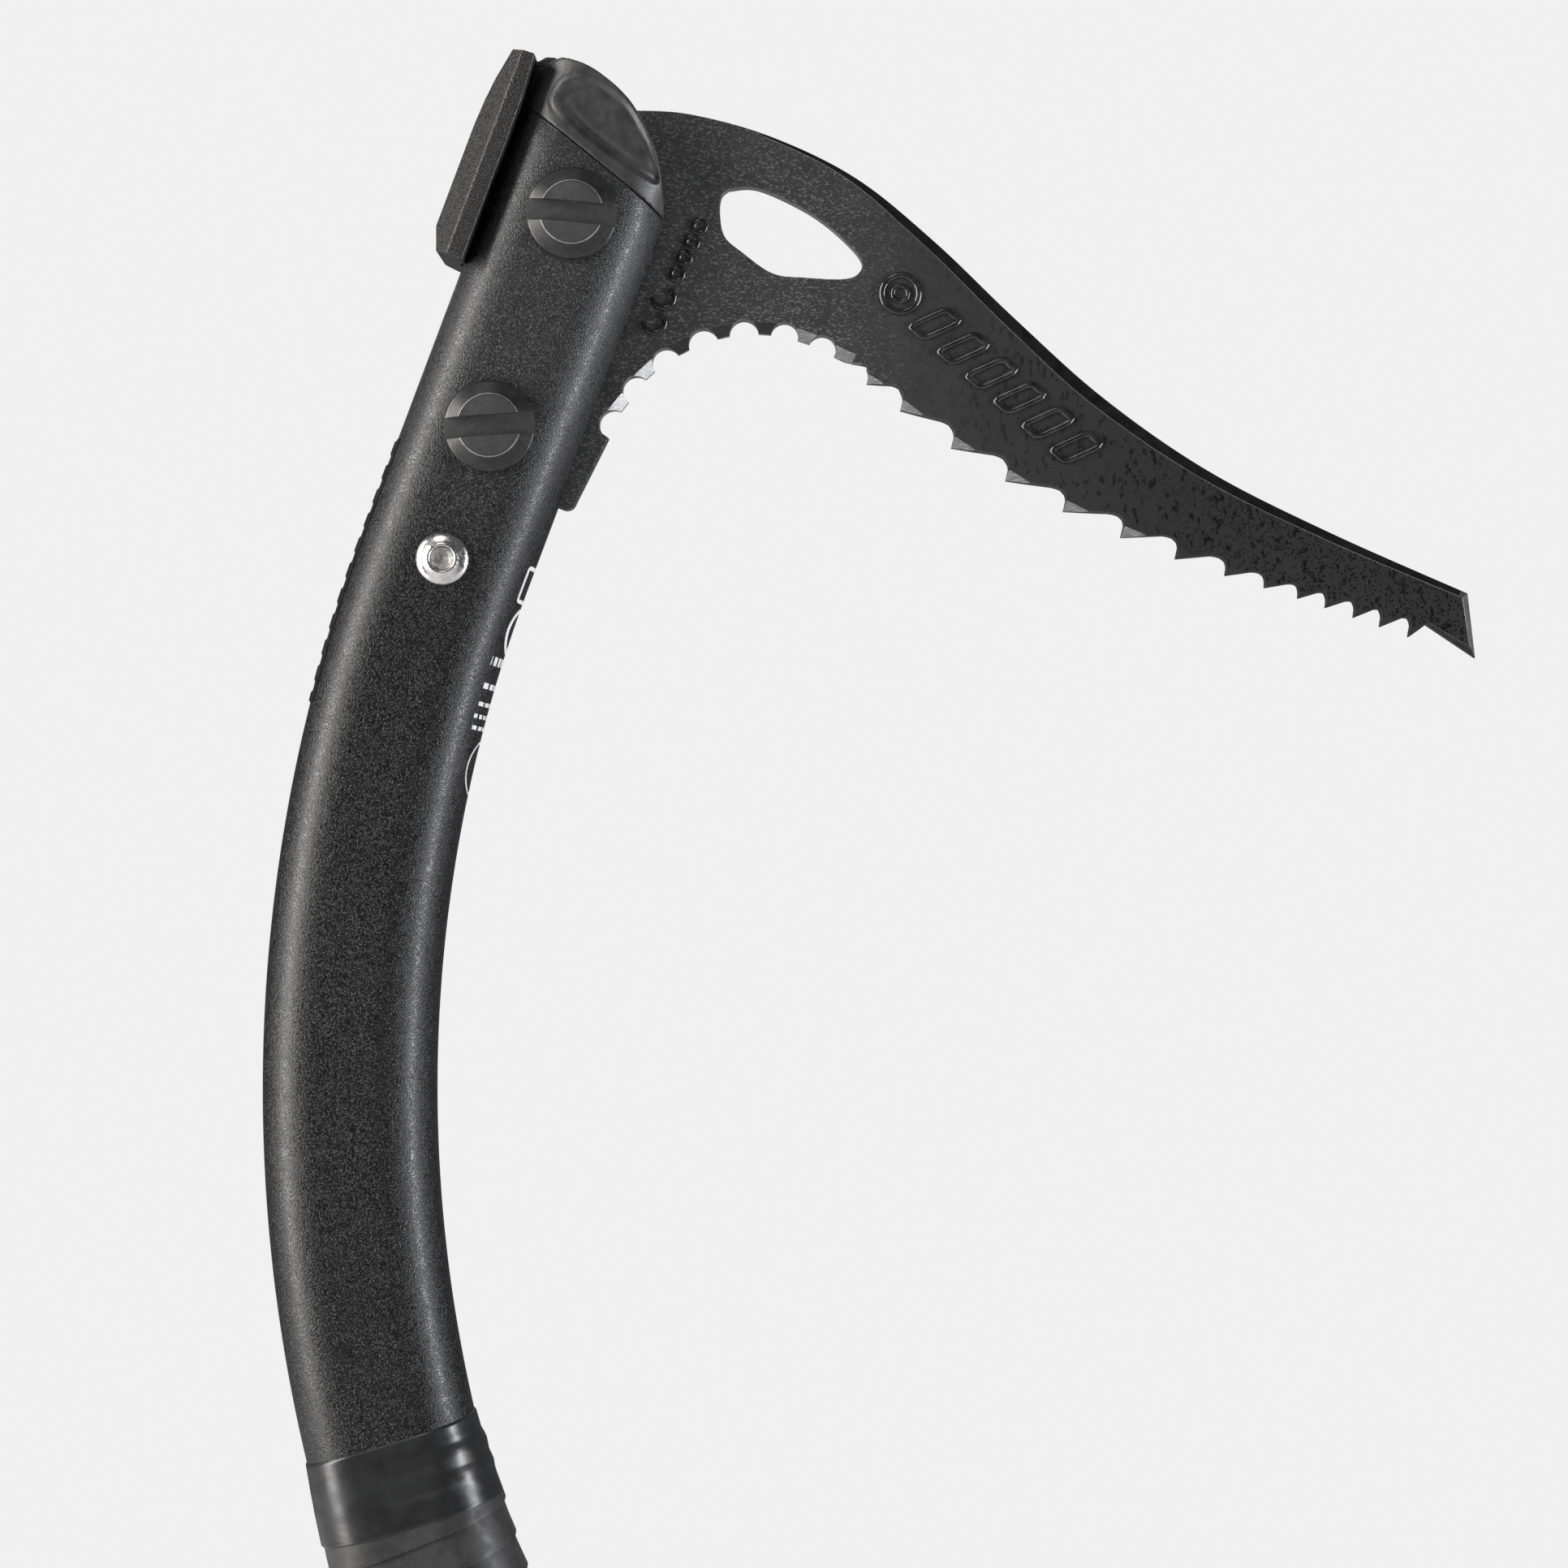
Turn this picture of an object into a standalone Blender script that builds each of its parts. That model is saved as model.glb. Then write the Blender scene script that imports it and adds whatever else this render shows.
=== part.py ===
"""Technical ice axe, about 50 cm long, with every separate piece as its own solid.

The world frame has +Z up the tool, +X toward the pick's point and +Y across it. Its origin
is the middle of the lower grip, on the shaft's centreline. Two empties carry the pieces:
head_frame stands where the straight head section of the shaft turns into its bend, with local
Z up the head section, and handle_frame stands at the world origin, with local Z up the handle.
Lengths are in millimetres until a mesh is made.
"""
import math

import bmesh
import bpy
from mathutils import Matrix, Vector

MM = 0.001
GAP = 0.3                    # clearance between touching pieces
MERGE = 1e-6                 # weld distance, in metres

# Shaft: oval tube, straight at the head, one bend, straight at the grip
SHAFT_HALF_WIDTH = 15.5      # along the swing
SHAFT_HALF_DEPTH = 11.0      # across the swing
SHAFT_CORNER = 10.0
SHAFT_WALL = 1.5
BEND_RADIUS = 270.0
HEAD_LEAN = math.radians(20.6)
HANDLE_LEAN = math.radians(22.0)
BEND_LENGTH = BEND_RADIUS * (HEAD_LEAN + HANDLE_LEAN)
BEND_STEP = BEND_LENGTH / 14
HANDLE_TOP = 105.0           # end of the bend above the grip's middle
SHAFT_FOOT = -80.0           # lower end of the tube, in the handle frame
RIM_HEIGHT = 75.1            # oblique top end of the tube, on the centreline
RIM_SLOPE = -0.335

# Head: pick, hammer, liner, bolts and rivet
PLATE_THICKNESS = 4.0
TANG_REAR = -12.7
TANG_FOOT = 15.5
CHEEK_THICKNESS = 2.3        # each arm of the hammer's fork
FORK_FOOT = 54.5
INSERT_FOOT = -8.0
CAP_SPIGOT = 3.0
BOLT_PLACES = {"upper": (0.5, 64.4), "lower": (0.1, 24.2)}
RIVET_PLACE = (0.5, -0.6)
SLOT_TURNS = {"upper": HEAD_LEAN - math.radians(5), "lower": HEAD_LEAN + math.radians(4)}
BOLT_HEAD_RADIUS = 8.1
BOLT_FACE_RADIUS = 5.5
BOLT_RIM = 0.7
BOLT_HEAD_HEIGHT = 2.3
BOLT_SHANK_RADIUS = 3.0
BARREL_RADIUS = 4.5
SLOT_WIDTH = 3.8

# Hammer plate
PLATE_OUTER = -21.9
PLATE_INNER = -16.0
PLATE_LIP = -14.8
PLATE_HALF_WIDTH = 11.5
PLATE_TOP = 88.3
PLATE_BOTTOM = 50.0

# Grip
TAPE_THICKNESS = 1.1
BAND_START = BEND_RADIUS * (HEAD_LEAN + math.radians(13.4))
BAND_LENGTH = 15.4
REST_TOP = -46.0
REST_BOTTOM = -78.0
REST_HALF_WIDTH = 19.0
REST_HALF_DEPTH = 14.2
REST_SCREW_HEIGHT = -60.0

# Spike
SPIKE_TIP = -127.0
SPIKE_PIN_HEIGHTS = {"upper": -36.0, "lower": -73.0}
SPIKE_PIN_RADIUS = 2.5
CLIP_HOLE_HEIGHT = -94.0
CLIP_HOLE_RADIUS = 6.5

TURN_STEPS = 24


# ---------------------------------------------------------------- scene, materials, frames

def clear_scene():
    for obj in list(bpy.data.objects):
        bpy.data.objects.remove(obj, do_unlink=True)


def collection(name):
    made = bpy.data.collections.new(name)
    bpy.context.scene.collection.children.link(made)
    return made


def material(name, colour, roughness, metallic):
    made = bpy.data.materials.new(name)
    made.use_nodes = True
    shader = made.node_tree.nodes["Principled BSDF"]
    shader.inputs["Base Color"].default_value = (*colour, 1.0)
    shader.inputs["Roughness"].default_value = roughness
    shader.inputs["Metallic"].default_value = metallic
    return made


def frame_empty(name, location, lean):
    empty = bpy.data.objects.new(name, None)
    PARTS.objects.link(empty)
    empty.location = Vector(location) * MM
    empty.rotation_euler = (0.0, lean, 0.0)
    return empty


def add_object(name, mesh, frame, group):
    obj = bpy.data.objects.new(name, mesh)
    group.objects.link(obj)
    obj.parent = frame
    return obj


def finish(obj, look, smooth_angle=None):
    """Give a part its material and, when round, smooth shading."""
    obj.data.materials.clear()
    obj.data.materials.append(look)
    if smooth_angle:
        obj.data.shade_smooth()
        obj.data.set_sharp_from_angle(angle=math.radians(smooth_angle))
    return obj


def cut(target, cutter, operation="DIFFERENCE"):
    modifier = target.modifiers.new(operation.lower() + "_" + cutter.name, "BOOLEAN")
    modifier.object = cutter
    modifier.operation = operation
    modifier.solver = "EXACT"
    cutter.hide_render = True
    cutter.display_type = "WIRE"


# ---------------------------------------------------------------- outlines

def smooth_curve(points, steps):
    """Points along a Catmull-Rom curve through the given points, ends included."""
    padded = [points[0]] + list(points) + [points[-1]]
    result = []
    for index in range(1, len(padded) - 2):
        before, start, end, after = (Vector(p) for p in padded[index - 1:index + 3])
        for step in range(steps):
            t = step / steps
            bend = (start * 2 + (end - before) * t
                    + (before * 2 - start * 5 + end * 4 - after) * t ** 2
                    + (start * 3 - before - end * 3 + after) * t ** 3)
            result.append(bend / 2)
    result.append(Vector(points[-1]))
    return result


def height_on(curve, x):
    """Height of a left-to-right curve at x."""
    for start, end in zip(curve, curve[1:]):
        if start.x <= x <= end.x:
            return start.y + (end.y - start.y) * (x - start.x) / (end.x - start.x)
    return curve[-1].y


def arc(centre, radius, start_degrees, end_degrees, steps):
    angles = [start_degrees + (end_degrees - start_degrees) * i / steps for i in range(steps + 1)]
    return [Vector((centre[0] + radius * math.cos(math.radians(a)),
                    centre[1] + radius * math.sin(math.radians(a)))) for a in angles]


def scallop(start, end, bulge, steps):
    """Inner points of a circular arc from start to end that bulges to the left of the way."""
    start, end = Vector(start), Vector(end)
    chord = end - start
    left = Vector((-chord.y, chord.x)).normalized()
    radius = (chord.length ** 2 / 4 + bulge ** 2) / (2 * bulge)
    centre = (start + end) / 2 + left * (bulge - radius)
    first = math.atan2(start.y - centre.y, start.x - centre.x)
    last = math.atan2(end.y - centre.y, end.x - centre.x)
    if last > first:
        last -= 2 * math.pi
    angles = [first + (last - first) * i / steps for i in range(1, steps)]
    return [centre + Vector((math.cos(a), math.sin(a))) * radius for a in angles]


def oval(half_width, half_depth, corner, steps=6):
    """Closed rounded rectangle, counter-clockwise from the middle of its +X side."""
    points = []
    for sign_x, sign_y, start in ((1, 1, 0), (-1, 1, 90), (-1, -1, 180), (1, -1, 270)):
        centre = (sign_x * (half_width - corner), sign_y * (half_depth - corner))
        points += arc(centre, corner, start, start + 90, steps)
    return points


# ---------------------------------------------------------------- solids

def prism(name, outlines, depth, frame, group, centre_y=0.0):
    """Flat outlines in the frame's XZ plane, extruded along Y. Later outlines are holes."""
    curve = bpy.data.curves.new(name, "CURVE")
    curve.dimensions = "2D"
    curve.fill_mode = "BOTH"
    curve.extrude = depth * MM / 2
    for outline in outlines:
        spline = curve.splines.new("POLY")
        spline.points.add(len(outline) - 1)
        for point, place in zip(spline.points, outline):
            point.co = (place[0] * MM, place[1] * MM, 0.0, 1.0)
        spline.use_cyclic_u = True
    source = add_object(name, curve, frame, group)
    source.rotation_euler = (math.pi / 2, 0.0, 0.0)
    source.location = (0.0, centre_y * MM, 0.0)
    return mesh_from_curve(source, group)


def upright_prism(name, outline, bottom, top, frame, group):
    """A closed outline in the frame's XY plane, extruded along Z."""
    curve = bpy.data.curves.new(name, "CURVE")
    curve.dimensions = "2D"
    curve.fill_mode = "BOTH"
    curve.extrude = (top - bottom) * MM / 2
    spline = curve.splines.new("POLY")
    spline.points.add(len(outline) - 1)
    for point, place in zip(spline.points, outline):
        point.co = (place[0] * MM, place[1] * MM, 0.0, 1.0)
    spline.use_cyclic_u = True
    source = add_object(name, curve, frame, group)
    source.location = (0.0, 0.0, (top + bottom) * MM / 2)
    return mesh_from_curve(source, group)


def mesh_from_curve(source, group):
    bpy.context.view_layer.update()
    evaluated = source.evaluated_get(bpy.context.evaluated_depsgraph_get())
    mesh = bpy.data.meshes.new_from_object(evaluated)
    shape = bmesh.new()
    shape.from_mesh(mesh)
    bmesh.ops.remove_doubles(shape, verts=shape.verts, dist=MERGE)
    bmesh.ops.recalc_face_normals(shape, faces=shape.faces)
    shape.to_mesh(mesh)
    shape.free()
    name = source.name
    source.name = name + "_curve"
    solid = add_object(name, mesh, source.parent, group)
    solid.location = source.location
    solid.rotation_euler = source.rotation_euler
    bpy.data.objects.remove(source, do_unlink=True)
    return solid


def block(name, size, centre, frame, group, turn=(0.0, 0.0, 0.0)):
    bpy.ops.mesh.primitive_cube_add(size=MM)
    obj = bpy.context.active_object
    obj.name = name
    obj.data.transform(Matrix.Diagonal((*size, 1.0)))
    for owner in list(obj.users_collection):
        owner.objects.unlink(obj)
    group.objects.link(obj)
    obj.parent = frame
    obj.location = Vector(centre) * MM
    obj.rotation_euler = turn
    return obj


def turned(name, profile, frame, group, place, far_side=False, steps=TURN_STEPS):
    """A profile of (radius, height) turned about a cross axis of the tool.

    Heights count outward from the middle plane: toward -Y, or toward +Y on the far side.
    """
    shape = bmesh.new()
    vertices = [shape.verts.new((radius * MM, 0.0, height * MM)) for radius, height in profile]
    for upper, lower in zip(vertices, vertices[1:]):
        shape.edges.new((upper, lower))
    mesh = bpy.data.meshes.new(name)
    shape.to_mesh(mesh)
    shape.free()
    obj = add_object(name, mesh, frame, group)
    obj.location = (place[0] * MM, 0.0, place[1] * MM)
    obj.rotation_euler = (-math.pi / 2 if far_side else math.pi / 2, 0.0, 0.0)
    screw = obj.modifiers.new("turn", "SCREW")
    screw.axis = "Z"
    screw.steps = steps
    screw.render_steps = steps
    screw.use_merge_vertices = True
    screw.merge_threshold = MERGE
    screw.use_smooth_shade = True
    return obj


def rod(name, radius, reach, frame, group, place, centre_y=0.0):
    """A plain cylinder across the tool, made for cutting and for pins."""
    bpy.ops.mesh.primitive_cylinder_add(vertices=TURN_STEPS, radius=radius * MM, depth=2 * reach * MM)
    obj = bpy.context.active_object
    obj.name = name
    for owner in list(obj.users_collection):
        owner.objects.unlink(obj)
    group.objects.link(obj)
    obj.parent = frame
    obj.location = (place[0] * MM, centre_y * MM, place[1] * MM)
    obj.rotation_euler = (math.pi / 2, 0.0, 0.0)
    return obj


# ---------------------------------------------------------------- sweeps along the shaft

def station(distance):
    """Matrix in the head frame at a distance down the centreline from the top of the bend."""
    if distance <= 0.0:
        return Matrix.Translation((0.0, 0.0, -distance * MM))
    bent = min(distance, BEND_LENGTH)
    pivot = Matrix.Translation((BEND_RADIUS * MM, 0.0, 0.0))
    turn = Matrix.Rotation(-bent / BEND_RADIUS, 4, "Y")
    matrix = pivot @ turn @ pivot.inverted()
    if distance > BEND_LENGTH:
        matrix = matrix @ Matrix.Translation((0.0, 0.0, (BEND_LENGTH - distance) * MM))
    return matrix


def stations_between(start, end):
    """Distances for the rings of a sweep: its ends, and the bend's steps between them."""
    steps = [index * BEND_STEP for index in range(15)]
    return [start] + [step for step in steps if start + 1.0 < step < end - 1.0] + [end]


def sweep(name, section, distances, thickness, closed, frame, group):
    """An open skin swept down the shaft, thickened outward, or inward if thickness is negative."""
    shape = bmesh.new()
    matrix = station(distances[0])
    ring = [shape.verts.new(matrix @ Vector((x * MM, y * MM, 0.0))) for x, y in section]
    pairs = zip(ring, ring[1:] + ring[:1]) if closed else zip(ring, ring[1:])
    edges = [shape.edges.new(pair) for pair in pairs]
    for distance in distances[1:]:
        extruded = bmesh.ops.extrude_edge_only(shape, edges=edges)["geom"]
        moved = [item for item in extruded if isinstance(item, bmesh.types.BMVert)]
        edges = [item for item in extruded if isinstance(item, bmesh.types.BMEdge)]
        step = station(distance) @ matrix.inverted()
        bmesh.ops.transform(shape, matrix=step, verts=moved)
        matrix = station(distance)
    bmesh.ops.remove_doubles(shape, verts=shape.verts, dist=MERGE)
    bmesh.ops.recalc_face_normals(shape, faces=shape.faces)
    shape.faces.ensure_lookup_table()
    first = shape.faces[0]
    outward = first.calc_center_median() - station(distances[0]) @ Vector((0.0, 0.0, 0.0))
    if first.normal.dot(outward) < 0.0:
        bmesh.ops.reverse_faces(shape, faces=shape.faces)
    mesh = bpy.data.meshes.new(name)
    shape.to_mesh(mesh)
    shape.free()
    obj = add_object(name, mesh, frame, group)
    shell = obj.modifiers.new("wall", "SOLIDIFY")
    shell.thickness = abs(thickness) * MM
    shell.offset = 1.0 if thickness > 0.0 else -1.0
    shell.use_even_offset = True
    return obj


# ---------------------------------------------------------------- shaft and its coverings

def make_shaft(look):
    top = RIM_HEIGHT + 12.0
    foot = BEND_LENGTH + HANDLE_TOP - SHAFT_FOOT
    section = oval(SHAFT_HALF_WIDTH, SHAFT_HALF_DEPTH, SHAFT_CORNER)
    tube = sweep("shaft", section, stations_between(-top, foot), -SHAFT_WALL, True, HEAD, PARTS)
    slope = math.atan(RIM_SLOPE)
    above = Vector((-math.sin(slope), 0.0, math.cos(slope))) * 20.0
    cut(tube, block("rim_cut", (60.0, 40.0, 40.0), Vector((0.0, 0.0, RIM_HEIGHT)) + above,
                    HEAD, CUTTERS, (0.0, -slope, 0.0)))
    pick_slot = PLATE_THICKNESS + 2 * GAP
    cut(tube, block("pick_slot_cut", (20.0, pick_slot, 80.0), (18.0, 0.0, TANG_FOOT - GAP + 40.0),
                    HEAD, CUTTERS))
    fork_slot = PLATE_THICKNESS + 2 * (GAP + CHEEK_THICKNESS + GAP)
    cut(tube, block("fork_slot_cut", (20.0, fork_slot, 60.0), (-18.0, 0.0, FORK_FOOT + 30.0),
                    HEAD, CUTTERS))
    for name, place in BOLT_PLACES.items():
        cut(tube, rod(name + "_shank_cut", BOLT_SHANK_RADIUS + GAP, 4.0, HEAD, CUTTERS,
                      place, -SHAFT_HALF_DEPTH))
        cut(tube, rod(name + "_barrel_cut", BARREL_RADIUS + GAP, 4.0, HEAD, CUTTERS,
                      place, SHAFT_HALF_DEPTH))
    cut(tube, rod("rivet_cut", 3.1 + GAP, 4.0, HEAD, CUTTERS, RIVET_PLACE, -SHAFT_HALF_DEPTH))
    for name, height in SPIKE_PIN_HEIGHTS.items():
        cut(tube, rod(name + "_pin_cut", SPIKE_PIN_RADIUS + GAP, 20.0, HANDLE, CUTTERS, (0.0, height)))
    cut(tube, rod("rest_screw_cut", 2.5 + GAP, 4.0, HANDLE, CUTTERS,
                  (0.0, REST_SCREW_HEIGHT), -SHAFT_HALF_DEPTH))
    cut(tube, rod("rest_barrel_cut", 3.5 + GAP, 4.0, HANDLE, CUTTERS,
                  (0.0, REST_SCREW_HEIGHT), SHAFT_HALF_DEPTH))
    return finish(tube, look, 35)


def make_spine_strip(look):
    """Thin rubber strip on the back of the shaft, from the rivet's height down into the bend."""
    lift = 0.2
    radius = SHAFT_CORNER + lift
    centre_x = SHAFT_CORNER - SHAFT_HALF_WIDTH
    side = SHAFT_HALF_DEPTH - SHAFT_CORNER
    section = arc((centre_x, side), radius, 150, 180, 2) + arc((centre_x, -side), radius, 180, 210, 2)
    strip = sweep("spine_strip", section, stations_between(-17.0, 31.0), 0.4, False, HEAD, PARTS)
    return finish(strip, look, 35)


def make_tapes(band_look, tape_look):
    offset = GAP
    section = oval(SHAFT_HALF_WIDTH + offset, SHAFT_HALF_DEPTH + offset, SHAFT_CORNER + offset)
    band_end = BAND_START + BAND_LENGTH
    tape_end = BEND_LENGTH + HANDLE_TOP - REST_TOP - GAP
    band = sweep("tape_band", section, stations_between(BAND_START, band_end),
                 TAPE_THICKNESS, True, HEAD, PARTS)
    tape = sweep("grip_tape", section, stations_between(band_end + GAP, tape_end),
                 TAPE_THICKNESS, True, HEAD, PARTS)
    finish(band, band_look, 35)
    finish(tape, tape_look, 35)


# ---------------------------------------------------------------- pick

def blunt_teeth():
    """Blunt climbing teeth round the arch, with round gullets between them."""
    centres = [Vector(p) for p in ((20.4, 36.6), (22.7, 43.5), (26.9, 49.5), (32.6, 54.5),
                                   (39.3, 57.6), (46.3, 58.7), (53.4, 58.1))]
    land = 2.2
    lands = []
    for index, centre in enumerate(centres):
        along = centres[min(index + 1, len(centres) - 1)] - centres[max(index - 1, 0)]
        half = along.normalized() * land / 2
        lands.append((centre - half, centre + half))
    leg_top = Vector((18.3, 30.7))
    points = [leg_top] + scallop(leg_top, lands[0][0], 2.0, 6)
    for here, following in zip(lands, lands[1:]):
        points += [here[0], here[1]] + scallop(here[1], following[0], 2.6, 7)
    return points + list(lands[-1])


def saw_teeth():
    """Hooked saw teeth from the arch to the point. Their steep faces look at the shaft."""
    tips = smooth_curve([(59.5, 55.7), (77.7, 50.3), (100.5, 46.7), (122.3, 45.8),
                         (145.4, 46.9), (166.3, 47.4)], 12)
    roof = smooth_curve([(54.0, 59.7), (64.5, 57.2), (75.5, 54.2), (97.5, 50.3), (120.0, 49.2),
                         (137.5, 48.8), (149.0, 49.5), (168.5, 50.8)], 12)
    tip_places = [54.6, 59.5, 66.8, 77.7, 88.9, 100.5, 111.8, 122.3, 131.7, 139.1, 145.4, 150.6,
                  155.9, 160.9, 166.3]
    points = []
    for before, here in zip(tip_places, tip_places[1:]):
        pitch = here - before
        round_start = here - min(0.42 * pitch, 3.6)
        top = here - min(0.22 * pitch, 1.8)
        points.append((round_start, height_on(roof, round_start) - 0.3))
        points.append((top, height_on(roof, top)))
        points.append((here - 0.6, height_on(roof, here) - 0.6))
        points.append((here - 0.2, height_on(roof, here) - 1.4))
        points.append((here, height_on(tips, here)))
    return points


def pick_outline():
    top_edge = smooth_curve([(2.4, 86.4), (12.8, 89.6), (28.0, 91.0), (45.0, 89.4), (62.0, 83.8),
                             (80.0, 76.1), (100.0, 68.3), (122.0, 62.7), (146.0, 60.0),
                             (173.4, 58.4)], 5)
    point = [(178.8, 48.1), (168.4, 50.7)]
    leg = [(19.7, 30.3), (18.3, 17.4)] + arc((16.6, 17.2), 1.7, -10, -90, 3)
    tang = [(TANG_REAR, TANG_FOOT), (TANG_REAR, 82.0), (-10.0, 86.4)]
    return ([Vector(p) for p in tang] + top_edge + [Vector(p) for p in point]
            + [Vector(p) for p in reversed(saw_teeth())] + list(reversed(blunt_teeth()))
            + [Vector(p) for p in leg])


def clip_hole_outline():
    """Rounded teardrop opening in the pick: arched above, straight below."""
    return smooth_curve([(24.2, 79.6), (29.0, 81.5), (38.1, 80.9), (45.0, 79.0), (50.6, 76.2),
                         (51.2, 73.6), (48.8, 71.6), (42.4, 69.5), (36.8, 68.2), (30.4, 69.8),
                         (26.4, 71.4), (24.1, 75.2), (23.4, 78.0)], 3)


def make_pick(look):
    pick = prism("pick", [pick_outline(), clip_hole_outline()], PLATE_THICKNESS, HEAD, PARTS)
    for name, place in BOLT_PLACES.items():
        cut(pick, rod(name + "_pick_cut", BARREL_RADIUS + GAP, 4.0, HEAD, CUTTERS, place))
    return finish(pick, look)


# ---------------------------------------------------------------- hammer, liner and cap

def make_hammer(look):
    """Striking plate behind the shaft with two arms that straddle the pick's tang."""
    side = [(PLATE_INNER, PLATE_BOTTOM), (-20.0, PLATE_BOTTOM), (PLATE_OUTER, 54.5),
            (PLATE_OUTER, 73.5), (-21.6, 78.5), (-21.1, 82.5), (-19.8, PLATE_TOP),
            (-16.7, PLATE_TOP + 0.2), (-16.3, 80.0), (PLATE_INNER, 72.0)]
    lip_side = [(x + PLATE_LIP - PLATE_INNER, z) if x > -17.0 else (x, z) for x, z in side]
    plate = prism("hammer", [lip_side], 2 * PLATE_HALF_WIDTH, HEAD, PARTS)
    bevel_start = 6.5
    rim_start = -17.8
    section = [(PLATE_OUTER, -bevel_start), (rim_start, -PLATE_HALF_WIDTH),
               (-10.0, -PLATE_HALF_WIDTH), (-10.0, PLATE_HALF_WIDTH),
               (rim_start, PLATE_HALF_WIDTH), (PLATE_OUTER, bevel_start)]
    cut(plate, upright_prism("plate_section", section, 40.0, 100.0, HEAD, CUTTERS), "INTERSECT")
    hollow = oval(SHAFT_HALF_WIDTH + 0.5, 9.5, 9.0)
    cut(plate, upright_prism("plate_hollow", hollow, 40.0, 100.0, HEAD, CUTTERS))
    bolt = BOLT_PLACES["upper"]
    arms = ([(-17.5, 57.5), (-6.0, FORK_FOOT + 0.6)] + arc(bolt, 7.6, -110, 20, 8)
            + [(2.4, 85.8), (-10.2, 86.4), (-10.6, 89.9), (-12.5, 90.2), (-14.3, 89.8),
               (-15.3, 88.6), (-15.7, 87.0), (-15.7, 82.0), (-17.5, 80.5)])
    reach = PLATE_THICKNESS + 2 * GAP + 2 * CHEEK_THICKNESS
    fork = prism("hammer_arms", [arms], reach, HEAD, CUTTERS)
    cut(plate, fork, "UNION")
    between = block("between_arms", (40.0, PLATE_THICKNESS + 2 * GAP, 60.0),
                    (TANG_REAR - GAP + 20.0, 0.0, 72.0), HEAD, CUTTERS)
    cut(plate, between)
    cut(plate, rod("hammer_bolt_cut", BARREL_RADIUS + GAP, 8.0, HEAD, CUTTERS, bolt))
    return finish(plate, look)


def below_rim(name, drop):
    """Cutter for everything above the tube's oblique rim, lowered by a distance."""
    slope = math.atan(RIM_SLOPE)
    normal = Vector((-math.sin(slope), 0.0, math.cos(slope)))
    centre = Vector((0.0, 0.0, RIM_HEIGHT)) + normal * (20.0 - drop)
    return block(name, (60.0, 40.0, 40.0), centre, HEAD, CUTTERS, (0.0, -slope, 0.0))


def make_head_insert(look):
    """Moulded liner that fills the tube on both sides of the pick's tang."""
    inner = SHAFT_WALL + GAP
    section = oval(SHAFT_HALF_WIDTH - inner, SHAFT_HALF_DEPTH - inner, SHAFT_CORNER - inner)
    insert = upright_prism("head_insert", section, INSERT_FOOT, RIM_HEIGHT + 10.0, HEAD, PARTS)
    cut(insert, below_rim("insert_top_cut", CAP_SPIGOT + GAP))
    slot = PLATE_THICKNESS + 2 * GAP
    cut(insert, block("insert_slot", (40.0, slot, 100.0), (0.0, 0.0, TANG_FOOT - GAP + 50.0),
                      HEAD, CUTTERS))
    fork_slot = PLATE_THICKNESS + 2 * (GAP + CHEEK_THICKNESS + GAP)
    cut(insert, block("insert_fork_slot", (40.0, fork_slot, 60.0), (0.0, 0.0, FORK_FOOT + 30.0),
                      HEAD, CUTTERS))
    for name, place in BOLT_PLACES.items():
        cut(insert, rod(name + "_insert_cut", BARREL_RADIUS + GAP, 20.0, HEAD, CUTTERS, place))
    cut(insert, rod("rivet_insert_cut", 3.1 + GAP, 6.0, HEAD, CUTTERS, RIVET_PLACE, -9.0))
    return finish(insert, look, 35)


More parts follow.
